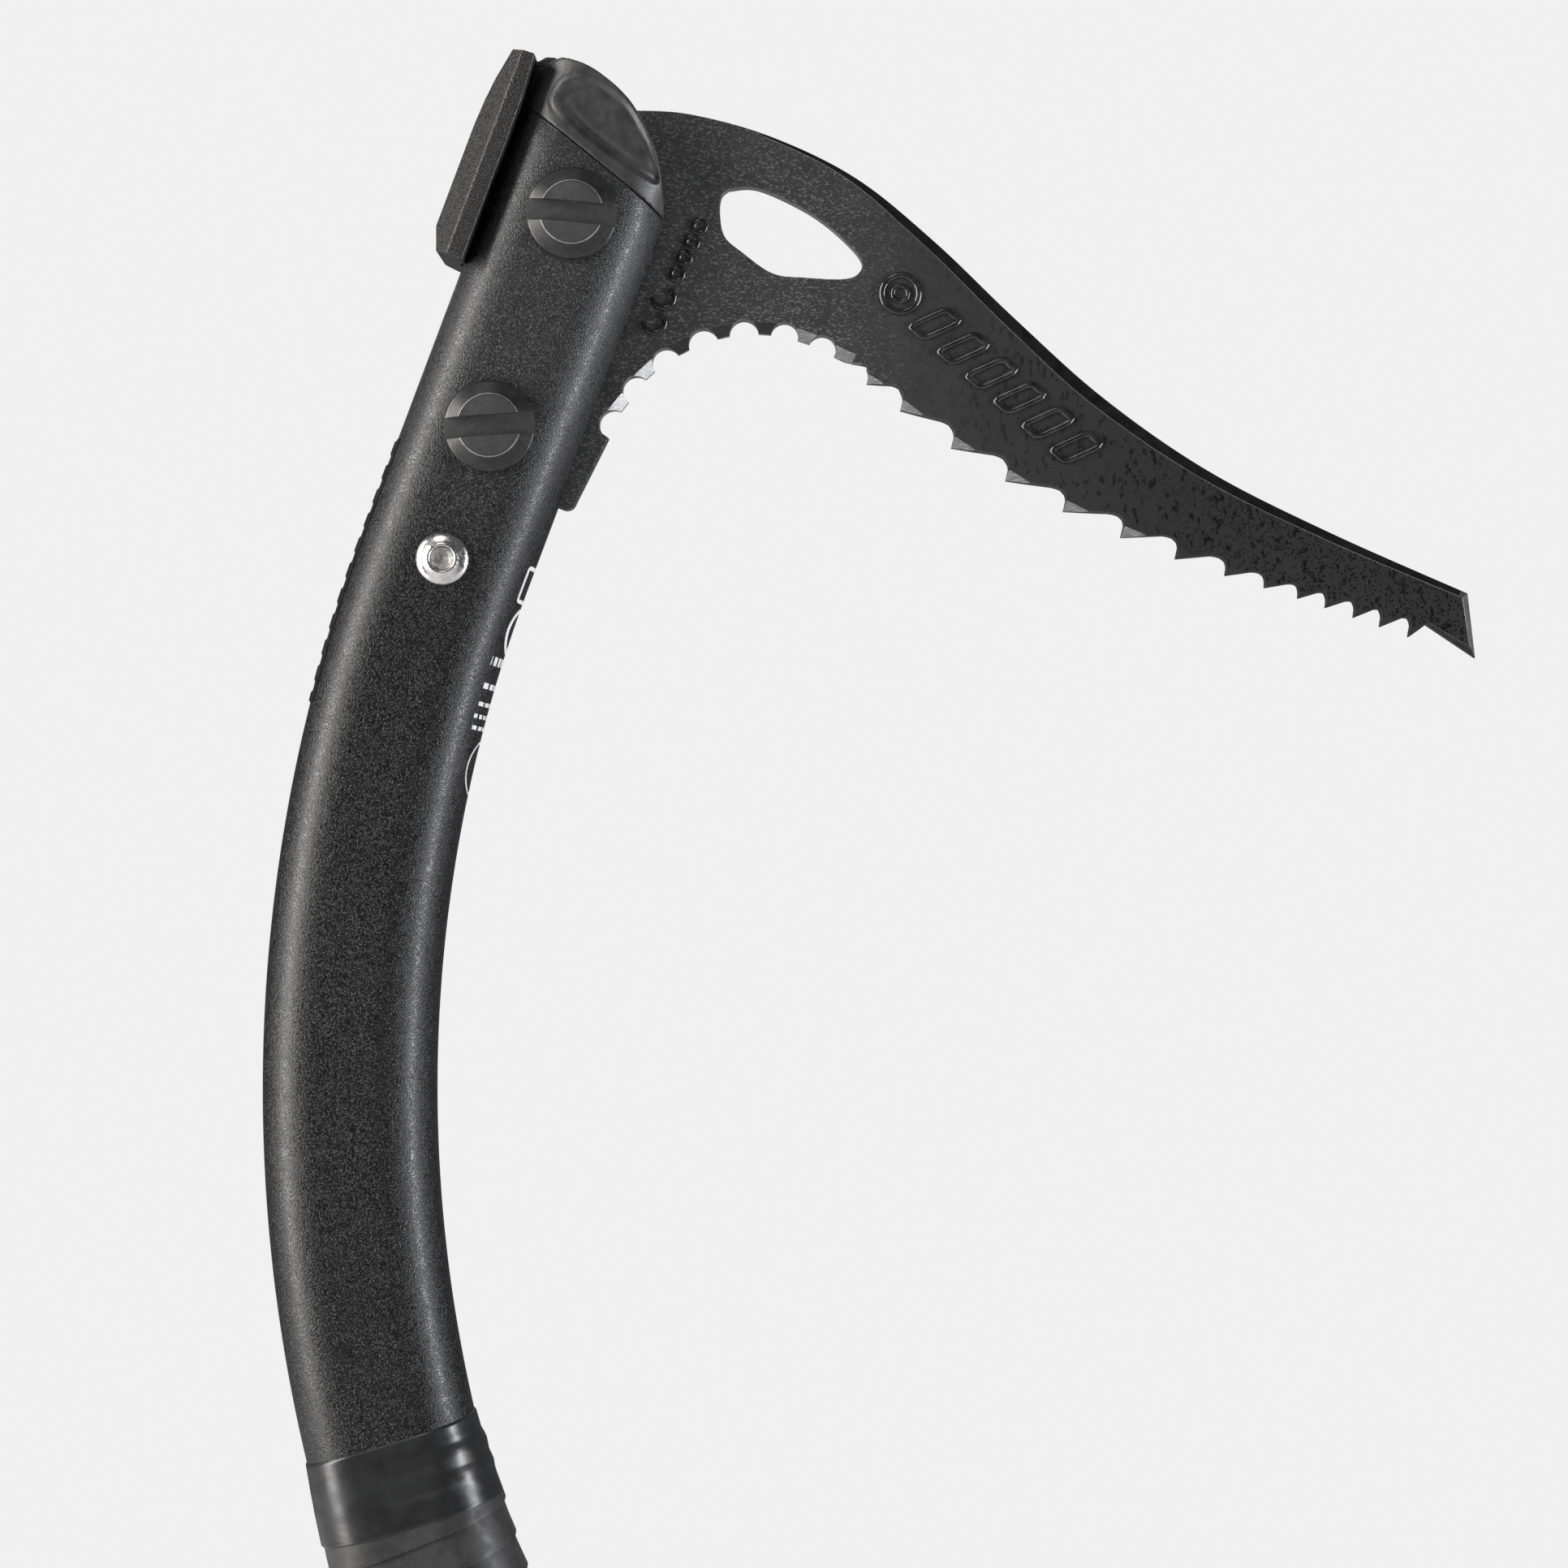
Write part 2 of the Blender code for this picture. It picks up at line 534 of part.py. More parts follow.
def make_head_cap(look):
    """Soft cap on the oblique rim, slotted for the plates, with a spigot inside the tube."""
    crown = smooth_curve([(15.2, 69.8), (14.6, 72.0), (12.3, 77.0), (9.1, 81.5), (3.0, 86.8),
                          (-4.0, 89.6), (-9.4, 90.1), (-11.9, 89.5), (-13.7, 87.4),
                          (-14.6, 84.0), (-14.5, 80.0)], 4)
    outline = [Vector((-SHAFT_HALF_WIDTH, 60.0)), Vector((SHAFT_HALF_WIDTH, 60.0))] + crown
    cap = prism("head_cap", [outline], 2 * SHAFT_HALF_DEPTH, HEAD, PARTS)
    skin = oval(SHAFT_HALF_WIDTH, SHAFT_HALF_DEPTH, SHAFT_CORNER)
    cut(cap, upright_prism("cap_skin", skin, 50.0, 100.0, HEAD, CUTTERS), "INTERSECT")
    slope = math.atan(RIM_SLOPE)
    normal = Vector((-math.sin(slope), 0.0, math.cos(slope)))
    under = Vector((0.0, 0.0, RIM_HEIGHT)) - normal * (20.0 - GAP)
    cut(cap, block("cap_under_cut", (60.0, 40.0, 40.0), under, HEAD, CUTTERS, (0.0, -slope, 0.0)))
    inner = SHAFT_WALL + GAP
    spigot_section = oval(SHAFT_HALF_WIDTH - inner, SHAFT_HALF_DEPTH - inner, SHAFT_CORNER - inner)
    spigot = upright_prism("cap_spigot", spigot_section, 50.0, RIM_HEIGHT + 20.0, HEAD, CUTTERS)
    slab = Vector((0.0, 0.0, RIM_HEIGHT)) + normal * (GAP + 0.5 - CAP_SPIGOT) / 2
    band = block("spigot_band", (60.0, 40.0, CAP_SPIGOT + GAP + 0.5), slab, HEAD, CUTTERS,
                 (0.0, -slope, 0.0))
    cut(spigot, band, "INTERSECT")
    cut(cap, spigot, "UNION")
    bridge = 2.3
    slot_top = 88.2 + GAP - bridge + 0.5
    slot = PLATE_THICKNESS + 2 * GAP
    cut(cap, block("cap_pick_slot", (60.0, slot, 60.0), (0.0, 0.0, slot_top - 30.0 + 0.2),
                   HEAD, CUTTERS))
    fork_slot = PLATE_THICKNESS + 2 * (GAP + CHEEK_THICKNESS + GAP)
    cut(cap, block("cap_fork_slot", (32.0, fork_slot, 60.0), (-7.6, 0.0, slot_top - 30.0),
                   HEAD, CUTTERS))
    cut(cap, block("cap_horn_slot", (20.0, fork_slot, 60.0), (-19.9, 0.0, 70.0), HEAD, CUTTERS))
    cut(cap, block("cap_front_slot", (20.0, slot, 60.0), (12.0, 0.0, 70.0), HEAD, CUTTERS))
    return finish(cap, look, 35)


# ---------------------------------------------------------------- fasteners

def make_bolt_pair(bolt_name, nut_name, sizes, frame, place, slot_turn, look):
    """A slotted bolt on the near side and the barrel nut that takes it on the far side."""
    seat = sizes["seat"] + GAP
    rim = seat + sizes["rim"]
    face = seat + sizes["height"]
    thread_end = -sizes["reach"]
    bolt = turned(bolt_name, [(0.0, face), (sizes["face"], face), (sizes["head"] - 0.25, rim + 0.15),
                              (sizes["head"], rim), (sizes["head"], seat), (sizes["shank"], seat),
                              (sizes["shank"], thread_end), (0.0, thread_end)],
                  frame, PARTS, place)
    bore = sizes["shank"] + GAP
    nut = turned(nut_name, [(0.0, face), (sizes["face"], face), (sizes["head"] - 0.25, rim + 0.15),
                            (sizes["head"], rim), (sizes["head"], seat), (sizes["barrel"], seat),
                            (sizes["barrel"], thread_end + 1.0), (bore, thread_end + 1.0),
                            (bore, sizes["reach"] + 1.0), (0.0, sizes["reach"] + 1.0)],
                 frame, PARTS, place, far_side=True)
    for piece, turn in ((bolt, slot_turn), (nut, -slot_turn)):
        slot = block(piece.name + "_slot", (3 * sizes["head"], sizes["slot"], 10.0),
                     (0.0, 0.0, rim + 5.0), piece, CUTTERS, (0.0, 0.0, turn))
        cut(piece, slot)
        finish(piece, look)


def make_head_rivet(body_look, mandrel_look):
    """Blind rivet through the near wall into the liner, with its broken mandrel inside."""
    seat = SHAFT_HALF_DEPTH + GAP
    flange = 4.7
    body = 3.1
    bore = 2.1
    foot = 5.0
    rivet = turned("head_rivet", [(bore, seat + 1.15), (body, seat + 1.25), (3.7, seat + 1.1),
                                  (flange - 0.3, seat + 0.45), (flange, seat), (body, seat),
                                  (body, foot), (bore, foot), (bore, seat + 1.15)],
                   HEAD, PARTS, RIVET_PLACE)
    finish(rivet, body_look)
    stub = turned("rivet_mandrel", [(0.0, seat - 0.9), (1.5, seat - 0.9), (1.75, seat - 1.2),
                                    (1.75, foot + 0.5), (0.0, foot + 0.5)],
                  HEAD, PARTS, RIVET_PLACE)
    finish(stub, mandrel_look)


# ---------------------------------------------------------------- foot of the tool

def make_end_plug(look):
    inner = SHAFT_WALL + GAP
    section = oval(SHAFT_HALF_WIDTH - inner, SHAFT_HALF_DEPTH - inner, SHAFT_CORNER - inner)
    plug = upright_prism("end_plug", section, SHAFT_FOOT + 0.5, -22.0, HANDLE, PARTS)
    slot = PLATE_THICKNESS + 2 * GAP
    cut(plug, block("plug_slot", (20.6, slot, 70.0), (0.0, 0.0, -28.0 + GAP - 35.0), HANDLE, CUTTERS))
    for name, height in SPIKE_PIN_HEIGHTS.items():
        cut(plug, rod(name + "_plug_cut", SPIKE_PIN_RADIUS + GAP, 20.0, HANDLE, CUTTERS,
                      (0.0, height)))
    cut(plug, rod("plug_screw_cut", 3.5 + GAP, 20.0, HANDLE, CUTTERS, (0.0, REST_SCREW_HEIGHT)))
    return finish(plug, look, 35)


def make_spike(look):
    neck = 10.0
    shoulder = SHAFT_FOOT - GAP - 0.2
    outline = [(-neck, -28.0), (-neck, shoulder), (-14.2, shoulder), (-14.2, -88.0), (-12.6, -99.0),
               (-8.4, -112.0), (-2.0, SPIKE_TIP), (3.2, -116.0), (8.0, -106.0), (12.8, -97.0),
               (14.2, -88.0), (14.2, shoulder), (neck, shoulder), (neck, -28.0)]
    hole = arc((0.0, CLIP_HOLE_HEIGHT), CLIP_HOLE_RADIUS, 0, 345, 23)
    spike = prism("spike", [outline, hole], PLATE_THICKNESS, HANDLE, PARTS)
    for name, height in SPIKE_PIN_HEIGHTS.items():
        cut(spike, rod(name + "_spike_cut", SPIKE_PIN_RADIUS + GAP, 4.0, HANDLE, CUTTERS,
                       (0.0, height)))
    cut(spike, rod("spike_screw_cut", 3.5 + GAP, 4.0, HANDLE, CUTTERS, (0.0, REST_SCREW_HEIGHT)))
    return finish(spike, look)


def make_spike_pins(look):
    for name, height in SPIKE_PIN_HEIGHTS.items():
        pin = rod("spike_pin_" + name, SPIKE_PIN_RADIUS, SHAFT_HALF_DEPTH - 0.1, HANDLE, PARTS,
                  (0.0, height))
        finish(pin, look, 35)


def make_hand_rest(look):
    """Moulded collar round the tube's foot, with a hooked horn under the little finger."""
    horn = smooth_curve([(REST_HALF_WIDTH - 1.5, REST_TOP - 3.5), (23.0, -53.5), (30.0, -54.2),
                         (36.0, -50.6), (39.6, -48.4), (40.6, -52.0), (37.0, -61.0),
                         (29.0, -70.5), (REST_HALF_WIDTH, REST_BOTTOM + 1.5)], 4)
    collar = [Vector(p) for p in ((16.0, REST_BOTTOM), (-16.0, REST_BOTTOM),
                                  (-REST_HALF_WIDTH, REST_BOTTOM + 3.0),
                                  (-REST_HALF_WIDTH, REST_TOP - 3.0), (-17.0, REST_TOP),
                                  (16.2, REST_TOP))]
    rest = prism("hand_rest", [horn + collar], 2 * REST_HALF_DEPTH, HANDLE, PARTS)
    plan = oval(60.0, REST_HALF_DEPTH, 12.0)
    shifted = [Vector((point.x + 60.0 - REST_HALF_WIDTH, point.y)) for point in plan]
    cut(rest, upright_prism("rest_plan", shifted, -90.0, -30.0, HANDLE, CUTTERS), "INTERSECT")
    horn_half = 10.0
    for side in (-1, 1):
        cut(rest, block("horn_side_cut_%d" % (side + 1), (40.0, 10.0, 60.0),
                        (24.0 + 20.0, side * (horn_half + 5.0), -60.0), HANDLE, CUTTERS,
                        (0.0, 0.0, side * math.radians(8))))
    bore = oval(SHAFT_HALF_WIDTH + GAP, SHAFT_HALF_DEPTH + GAP, SHAFT_CORNER + GAP)
    cut(rest, upright_prism("rest_bore", bore, -90.0, -30.0, HANDLE, CUTTERS))
    cut(rest, rod("rest_near_cut", 2.5 + GAP, 5.0, HANDLE, CUTTERS, (0.0, REST_SCREW_HEIGHT),
                  -REST_HALF_DEPTH))
    cut(rest, rod("rest_far_cut", 3.5 + GAP, 5.0, HANDLE, CUTTERS, (0.0, REST_SCREW_HEIGHT),
                  REST_HALF_DEPTH))
    return finish(rest, look, 35)


# ---------------------------------------------------------------- assembly

clear_scene()
PARTS = collection("ice_axe")
CUTTERS = collection("ice_axe_cutters")

handle_up = Vector((-math.sin(HANDLE_LEAN), 0.0, math.cos(HANDLE_LEAN)))
bend_centre = handle_up * HANDLE_TOP + Vector((math.cos(HANDLE_LEAN), 0.0,
                                               math.sin(HANDLE_LEAN))) * BEND_RADIUS
bend_top = bend_centre + Vector((-math.cos(HEAD_LEAN), 0.0, math.sin(HEAD_LEAN))) * BEND_RADIUS
HEAD = frame_empty("head_frame", bend_top, HEAD_LEAN)
HANDLE = frame_empty("handle_frame", (0.0, 0.0, 0.0), -HANDLE_LEAN)

black_anodised = material("black_anodised_aluminium", (0.018, 0.018, 0.019), 0.42, 0.35)
black_steel = material("black_painted_steel", (0.020, 0.020, 0.022), 0.45, 0.30)
bolt_steel = material("blackened_bolt_steel", (0.028, 0.028, 0.030), 0.38, 0.60)
bright_steel = material("bright_steel", (0.72, 0.72, 0.70), 0.22, 1.0)
cap_rubber = material("cap_rubber", (0.035, 0.035, 0.037), 0.62, 0.0)
liner_plastic = material("liner_plastic", (0.10, 0.10, 0.11), 0.55, 0.0)
gloss_tape = material("gloss_tape", (0.016, 0.016, 0.018), 0.25, 0.0)
rubber_tape = material("rubber_tape", (0.045, 0.045, 0.046), 0.75, 0.0)
rest_plastic = material("rest_plastic", (0.024, 0.024, 0.026), 0.55, 0.0)

make_shaft(black_anodised)
make_spine_strip(cap_rubber)
make_tapes(gloss_tape, rubber_tape)
make_pick(black_steel)
make_hammer(black_steel)
make_head_insert(liner_plastic)
make_head_cap(cap_rubber)
make_head_rivet(bright_steel, bolt_steel)

head_bolt = {"seat": SHAFT_HALF_DEPTH, "rim": BOLT_RIM, "height": BOLT_HEAD_HEIGHT,
             "face": BOLT_FACE_RADIUS, "head": BOLT_HEAD_RADIUS, "shank": BOLT_SHANK_RADIUS,
             "barrel": BARREL_RADIUS, "reach": 6.0, "slot": SLOT_WIDTH}
for level, bolt_place in BOLT_PLACES.items():
    make_bolt_pair(level + "_bolt", level + "_nut", head_bolt, HEAD, bolt_place,
                   SLOT_TURNS[level], bolt_steel)

make_end_plug(liner_plastic)
make_spike(black_steel)
make_spike_pins(bright_steel)
make_hand_rest(rest_plastic)
rest_bolt = {"seat": REST_HALF_DEPTH, "rim": 0.8, "height": 1.8, "face": 3.6, "head": 5.0,
             "shank": 2.5, "barrel": 3.5, "reach": 8.0, "slot": 1.6}
make_bolt_pair("rest_screw", "rest_nut", rest_bolt, HANDLE, (0.0, REST_SCREW_HEIGHT),
               math.radians(20), bolt_steel)
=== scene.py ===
"""Looks of a technical ice axe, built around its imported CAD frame.

Head pieces are drawn in the head frame (X toward the point, Z up the head section) and foot
pieces in the handle frame, in millimetres, and land in the row frame in metres.
The near side, which the camera sees, is -Y.
"""
import math

import bmesh
import bpy
from mathutils import Matrix, Vector, noise
from mathutils.geometry import tessellate_polygon


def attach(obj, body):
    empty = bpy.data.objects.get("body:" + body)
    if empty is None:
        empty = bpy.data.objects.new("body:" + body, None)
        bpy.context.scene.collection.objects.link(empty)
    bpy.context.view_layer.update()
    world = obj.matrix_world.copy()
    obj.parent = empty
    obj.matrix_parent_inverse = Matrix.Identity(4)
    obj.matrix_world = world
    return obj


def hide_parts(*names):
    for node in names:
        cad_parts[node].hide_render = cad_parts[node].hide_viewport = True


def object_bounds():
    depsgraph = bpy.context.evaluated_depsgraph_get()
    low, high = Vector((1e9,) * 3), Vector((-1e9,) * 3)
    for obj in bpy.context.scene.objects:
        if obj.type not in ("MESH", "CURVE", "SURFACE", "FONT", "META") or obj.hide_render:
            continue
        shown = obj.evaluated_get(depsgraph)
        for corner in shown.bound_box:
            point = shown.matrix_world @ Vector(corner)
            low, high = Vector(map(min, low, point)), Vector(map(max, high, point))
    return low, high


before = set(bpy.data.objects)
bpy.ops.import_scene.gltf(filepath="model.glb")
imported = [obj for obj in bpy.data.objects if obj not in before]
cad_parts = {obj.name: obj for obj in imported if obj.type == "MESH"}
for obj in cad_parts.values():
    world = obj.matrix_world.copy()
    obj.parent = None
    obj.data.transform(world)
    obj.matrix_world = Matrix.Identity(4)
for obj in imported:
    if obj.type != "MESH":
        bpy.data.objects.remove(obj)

CAD_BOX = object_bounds()
BODY = "axe"
MM = 0.001
GAP = 0.3
ROUND_STEPS = 96
PAPER_DROP = 4.0             # from the spike's tip to the floor

# Shaft
SHAFT_HALF_WIDTH = 15.5
SHAFT_HALF_DEPTH = 11.0
SHAFT_CORNER = 10.0
SHAFT_WALL = 1.5
BEND_RADIUS = 270.0
HEAD_LEAN = math.radians(20.6)
HANDLE_LEAN = math.radians(22.0)
BEND_LENGTH = BEND_RADIUS * (HEAD_LEAN + HANDLE_LEAN)
HANDLE_TOP = 105.0
SHAFT_FOOT = -80.0
RIM_HEIGHT = 75.1
RIM_SLOPE = -0.335

# Head
PLATE_HALF = 2.0
TANG_REAR = -12.7
TANG_FOOT = 15.5
CHEEK = 2.3
FORK_FOOT = 54.5
BOLT_PLACES = {"upper": (0.5, 64.4), "lower": (0.1, 24.2)}
SLOT_TURNS = {"upper": HEAD_LEAN - math.radians(5), "lower": HEAD_LEAN + math.radians(4)}
REST_TURN = math.radians(20)
RIVET_PLACE = (0.5, -0.6)
PLATE_OUTER = -21.9
PLATE_LIP = -14.8
PLATE_RIM = -17.8            # where the hammer's bevel meets its side
PLATE_HALF_WIDTH = 11.5
PLATE_TOP = 88.3
PLATE_BOTTOM = 50.0

# Grip
BAND_TOP = 159.7             # down the centreline, at the section's middle
BAND_TILT = -0.065
BAND_FOOT = 175.0
TURN_PITCH = 6.8
FIRST_TURN = 176.9
REST_TOP = -46.0
REST_BOTTOM = -78.0
REST_HALF_WIDTH = 19.0
REST_HALF_DEPTH = 14.2
REST_SCREW_HEIGHT = -60.0
PIN_HEIGHTS = {"upper": -36.0, "lower": -73.0}
SPIKE_TIP = -127.0
CLIP_HOLE_HEIGHT = -94.0
CLIP_HOLE_RADIUS = 6.5

# Camera
VIEW_CENTRE = Vector((18.76, 0.0, 253.04)) * MM
VIEW_DISTANCE = 655.0 * MM
VIEW_SPAN = 281.2 * MM
SENSOR = 36.0
TOOL_MIDDLE = Vector((0.0, 0.0, 0.25))


# ---- frames and small maths

def head_matrix():
    """The head frame, found from the handle by way of the bend's centre."""
    up = Vector((-math.sin(HANDLE_LEAN), 0.0, math.cos(HANDLE_LEAN)))
    out = Vector((math.cos(HANDLE_LEAN), 0.0, math.sin(HANDLE_LEAN)))
    back = Vector((-math.cos(HEAD_LEAN), 0.0, math.sin(HEAD_LEAN)))
    top = (up * HANDLE_TOP + (out + back) * BEND_RADIUS) * MM
    return Matrix.Translation(top) @ Matrix.Rotation(HEAD_LEAN, 4, "Y")


HEAD = head_matrix()
HANDLE = Matrix.Rotation(-HANDLE_LEAN, 4, "Y")
SCALE = Matrix.Scale(MM, 4)
FACING_NEAR = Matrix.Rotation(math.pi / 2, 4, "X")
FACING_FAR = Matrix.Rotation(-math.pi / 2, 4, "X")


def station(distance):
    """Matrix in the head frame, in mm, at a distance down the centreline from the bend's top."""
    if distance <= 0.0:
        return Matrix.Translation((0.0, 0.0, -distance))
    bent = min(distance, BEND_LENGTH)
    pivot = Matrix.Translation((BEND_RADIUS, 0.0, 0.0))
    matrix = pivot @ Matrix.Rotation(-bent / BEND_RADIUS, 4, "Y") @ pivot.inverted()
    return matrix @ Matrix.Translation((0.0, 0.0, bent - distance))


def smoothstep(value, low, high):
    t = min(max((value - low) / (high - low), 0.0), 1.0)
    return t * t * (3.0 - 2.0 * t)


def between(value, table):
    """Piecewise linear look-up in a list of (place, result)."""
    if value <= table[0][0]:
        return table[0][1]
    for (x0, y0), (x1, y1) in zip(table, table[1:]):
        if value <= x1:
            return y0 + (y1 - y0) * (value - x0) / (x1 - x0)
    return table[-1][1]


def smooth_curve(points, steps):
    """Points along a Catmull-Rom curve through the given points, ends included."""
    padded = [points[0]] + list(points) + [points[-1]]
    result = []
    for index in range(1, len(padded) - 2):
        before, start, end, after = (Vector(p) for p in padded[index - 1:index + 3])
        for step in range(steps):
            t = step / steps
            bend = (start * 2 + (end - before) * t
                    + (before * 2 - start * 5 + end * 4 - after) * t ** 2
                    + (start * 3 - before - end * 3 + after) * t ** 3)
            result.append(bend / 2)
    result.append(Vector(points[-1]))
    return result


def height_on(curve, x):
    for start, end in zip(curve, curve[1:]):
        if start.x <= x <= end.x:
            return start.y + (end.y - start.y) * (x - start.x) / (end.x - start.x)
    return curve[-1].y


def arc(centre, radius, start_degrees, end_degrees, steps):
    angles = [start_degrees + (end_degrees - start_degrees) * i / steps for i in range(steps + 1)]
    return [Vector((centre[0] + radius * math.cos(math.radians(a)),
                    centre[1] + radius * math.sin(math.radians(a)))) for a in angles]


def scallop(start, end, bulge, steps):
    """Inner points of a circular arc from start to end that bulges to the left of the way."""
    start, end = Vector(start), Vector(end)
    chord = end - start
    left = Vector((-chord.y, chord.x)).normalized()
    radius = (chord.length ** 2 / 4 + bulge ** 2) / (2 * bulge)
    centre = (start + end) / 2 + left * (bulge - radius)
    first = math.atan2(start.y - centre.y, start.x - centre.x)
    last = math.atan2(end.y - centre.y, end.x - centre.x)
    if last > first:
        last -= 2 * math.pi
    angles = [first + (last - first) * i / steps for i in range(1, steps)]
    return [centre + Vector((math.cos(a), math.sin(a))) * radius for a in angles]


def oval(half_width, half_depth, corner, steps):
    points = []
    for sign_x, sign_y, start in ((1, 1, 0), (-1, 1, 90), (-1, -1, 180), (1, -1, 270)):
        centre = (sign_x * (half_width - corner), sign_y * (half_depth - corner))
        points += arc(centre, corner, start, start + 90, steps)
    return points


def signed_area(loop):
    return sum(a.x * b.y - b.x * a.y for a, b in zip(loop, loop[1:] + loop[:1])) / 2


# ---- meshes

def new_object(name, shape, matrix, own_axes=False):
    """Object from a bmesh in mm, welded, with outward normals, placed by a matrix.

    Its mesh stands in the row's axes, unless the piece keeps its own axes for its finish.
    """
    bmesh.ops.remove_doubles(shape, verts=shape.verts, dist=1e-4)
    bmesh.ops.dissolve_degenerate(shape, edges=shape.edges, dist=1e-5)
    bmesh.ops.recalc_face_normals(shape, faces=shape.faces)
    mesh = bpy.data.meshes.new(name)
    shape.to_mesh(mesh)
    shape.free()
    mesh.transform(SCALE if own_axes else matrix @ SCALE)
    obj = bpy.data.objects.new(name, mesh)
    bpy.context.scene.collection.objects.link(obj)
    if own_axes:
        obj.matrix_world = matrix
    return obj


def add_quads(shape, first, second, index=0):
    """Band of quads between two closed rings."""
    count = len(first)
    for i in range(count):
        j = (i + 1) % count
        face = shape.faces.new((first[i], first[j], second[j], second[i]))
        face.material_index = index


def add_rope(shape, rings, closed=False, caps=True):
    """Skin through a row of closed rings, closed into a loop or capped at its ends."""
    made = [[shape.verts.new(point) for point in ring] for ring in rings]
    for first, second in zip(made, made[1:]):
        add_quads(shape, first, second)
    if closed:
        add_quads(shape, made[-1], made[0])
    elif caps:
        shape.faces.new(made[0])
        shape.faces.new(made[-1])


def rope(name, rings, matrix, closed=False, caps=True, own_axes=False):
    shape = bmesh.new()
    add_rope(shape, rings, closed, caps)
    return new_object(name, shape, matrix, own_axes)


def ropes(name, strands, matrix):
    """One piece from several (rings, closed) strands."""
    shape = bmesh.new()
    for rings, closed in strands:
        add_rope(shape, rings, closed)
    return new_object(name, shape, matrix)


def with_sides(path, closed):
    """The points of a flat path, each with the unit vector to the left of its way."""
    count = len(path)
    for index, here in enumerate(path):
        before = path[(index - 1) % count] if closed or index else here
        after = path[(index + 1) % count] if closed or index < count - 1 else here
        way = (Vector(after) - Vector(before)).normalized()
        yield Vector(here), Vector((-way.y, way.x))


def lofted(name, loops, matrix, band_looks=None):
    """Solid from stacked rings. Each loop is a list of rings, and later loops are holes."""
    shape = bmesh.new()
    made = [[[shape.verts.new(p) for p in ring] for ring in rings] for rings in loops]
    for rings in made:
        for level, (first, second) in enumerate(zip(rings, rings[1:])):
            add_quads(shape, first, second, band_looks[level] if band_looks else 0)
    for level in (0, -1):
        flat = [vertex for rings in made for vertex in rings[level]]
        lines = [[vertex.co for vertex in rings[level]] for rings in made]
        for triangle in tessellate_polygon(lines):
            shape.faces.new([flat[i] for i in triangle])
    return new_object(name, shape, matrix)


def prism(name, outline, matrix, low, high):
    """Outline in the XZ plane, from one Y to another."""
    rings = [[(p[0], y, p[1]) for p in outline] for y in (low, high)]
    return lofted(name, [rings], matrix)


def upright(name, outline, matrix, low, high):
    """Outline in the XY plane, from one Z to another."""
    rings = [[(p[0], p[1], z) for p in outline] for z in (low, high)]
    return lofted(name, [rings], matrix)


def block(name, size, centre, matrix, turn=None):
    shape = bmesh.new()
    place = Matrix.Translation(centre) @ (turn or Matrix()) @ Matrix.Diagonal((*size, 1.0))
    bmesh.ops.create_cube(shape, size=1.0, matrix=place)
    return new_object(name, shape, matrix)


def turned(name, profile, matrix, steps=ROUND_STEPS):
    """(radius, height) profile turned about Z. Its first and last circles are capped."""
    angles = [2 * math.pi * i / steps for i in range(steps)]
    rings = [[(r * math.cos(a), r * math.sin(a), h) for a in angles] for r, h in profile]
    return rope(name, rings, matrix, own_axes=True)


def turned_ring(name, profile, matrix):
    """Closed (radius, height) profile turned about Z, with a hole through its middle."""
    angles = [2 * math.pi * i / ROUND_STEPS for i in range(ROUND_STEPS)]
    rings = [[(r * math.cos(a), r * math.sin(a), h) for r, h in profile] for a in angles]
    return rope(name, rings, matrix, closed=True, own_axes=True)


def bake(obj):
    """Replace the object's mesh by what its modifiers make of it."""
    bpy.context.view_layer.update()
    evaluated = obj.evaluated_get(bpy.context.evaluated_depsgraph_get())
    mesh = bpy.data.meshes.new_from_object(evaluated)
    obj.modifiers.clear()
    old = obj.data
    obj.data = mesh
    bpy.data.meshes.remove(old)


def carve(obj, *cutters, operation="DIFFERENCE"):
    """Cut, join or intersect a piece with others, which it uses up."""
    for cutter in cutters:
        modifier = obj.modifiers.new("carve", "BOOLEAN")
        modifier.object = cutter
        modifier.operation = operation
        modifier.solver = "EXACT"
    bake(obj)
    for cutter in cutters:
        mesh = cutter.data
        bpy.data.objects.remove(cutter, do_unlink=True)
        bpy.data.meshes.remove(mesh)


def relax(obj, rounds):
    """Even out a fine mesh, together with any modifiers that it already has."""
    smooth = obj.modifiers.new("round", "SMOOTH")
    smooth.factor = 0.5
    smooth.iterations = rounds
    bake(obj)
    obj.data.shade_smooth()


def soften(obj, voxel, rounds):
    """Fine even mesh with its edges rounded, as a forging or a moulding has."""
    remesh = obj.modifiers.new("even", "REMESH")
    remesh.mode = "VOXEL"
    remesh.voxel_size = voxel * MM
    relax(obj, rounds)


def dress(obj, looks, nodes, smooth_angle, body=BODY):
    """Give a piece its materials, its body and the CAD nodes that it stands for."""
    kept = [polygon.material_index for polygon in obj.data.polygons]
    obj.data.materials.clear()
    for look in looks if isinstance(looks, (list, tuple)) else [looks]:
        obj.data.materials.append(look)
    obj.data.polygons.foreach_set("material_index", kept)
    if smooth_angle:
        obj.data.shade_smooth()
        obj.data.set_sharp_from_angle(angle=math.radians(smooth_angle))
    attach(obj, body)
    if nodes:
        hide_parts(*nodes)


# ---- materials

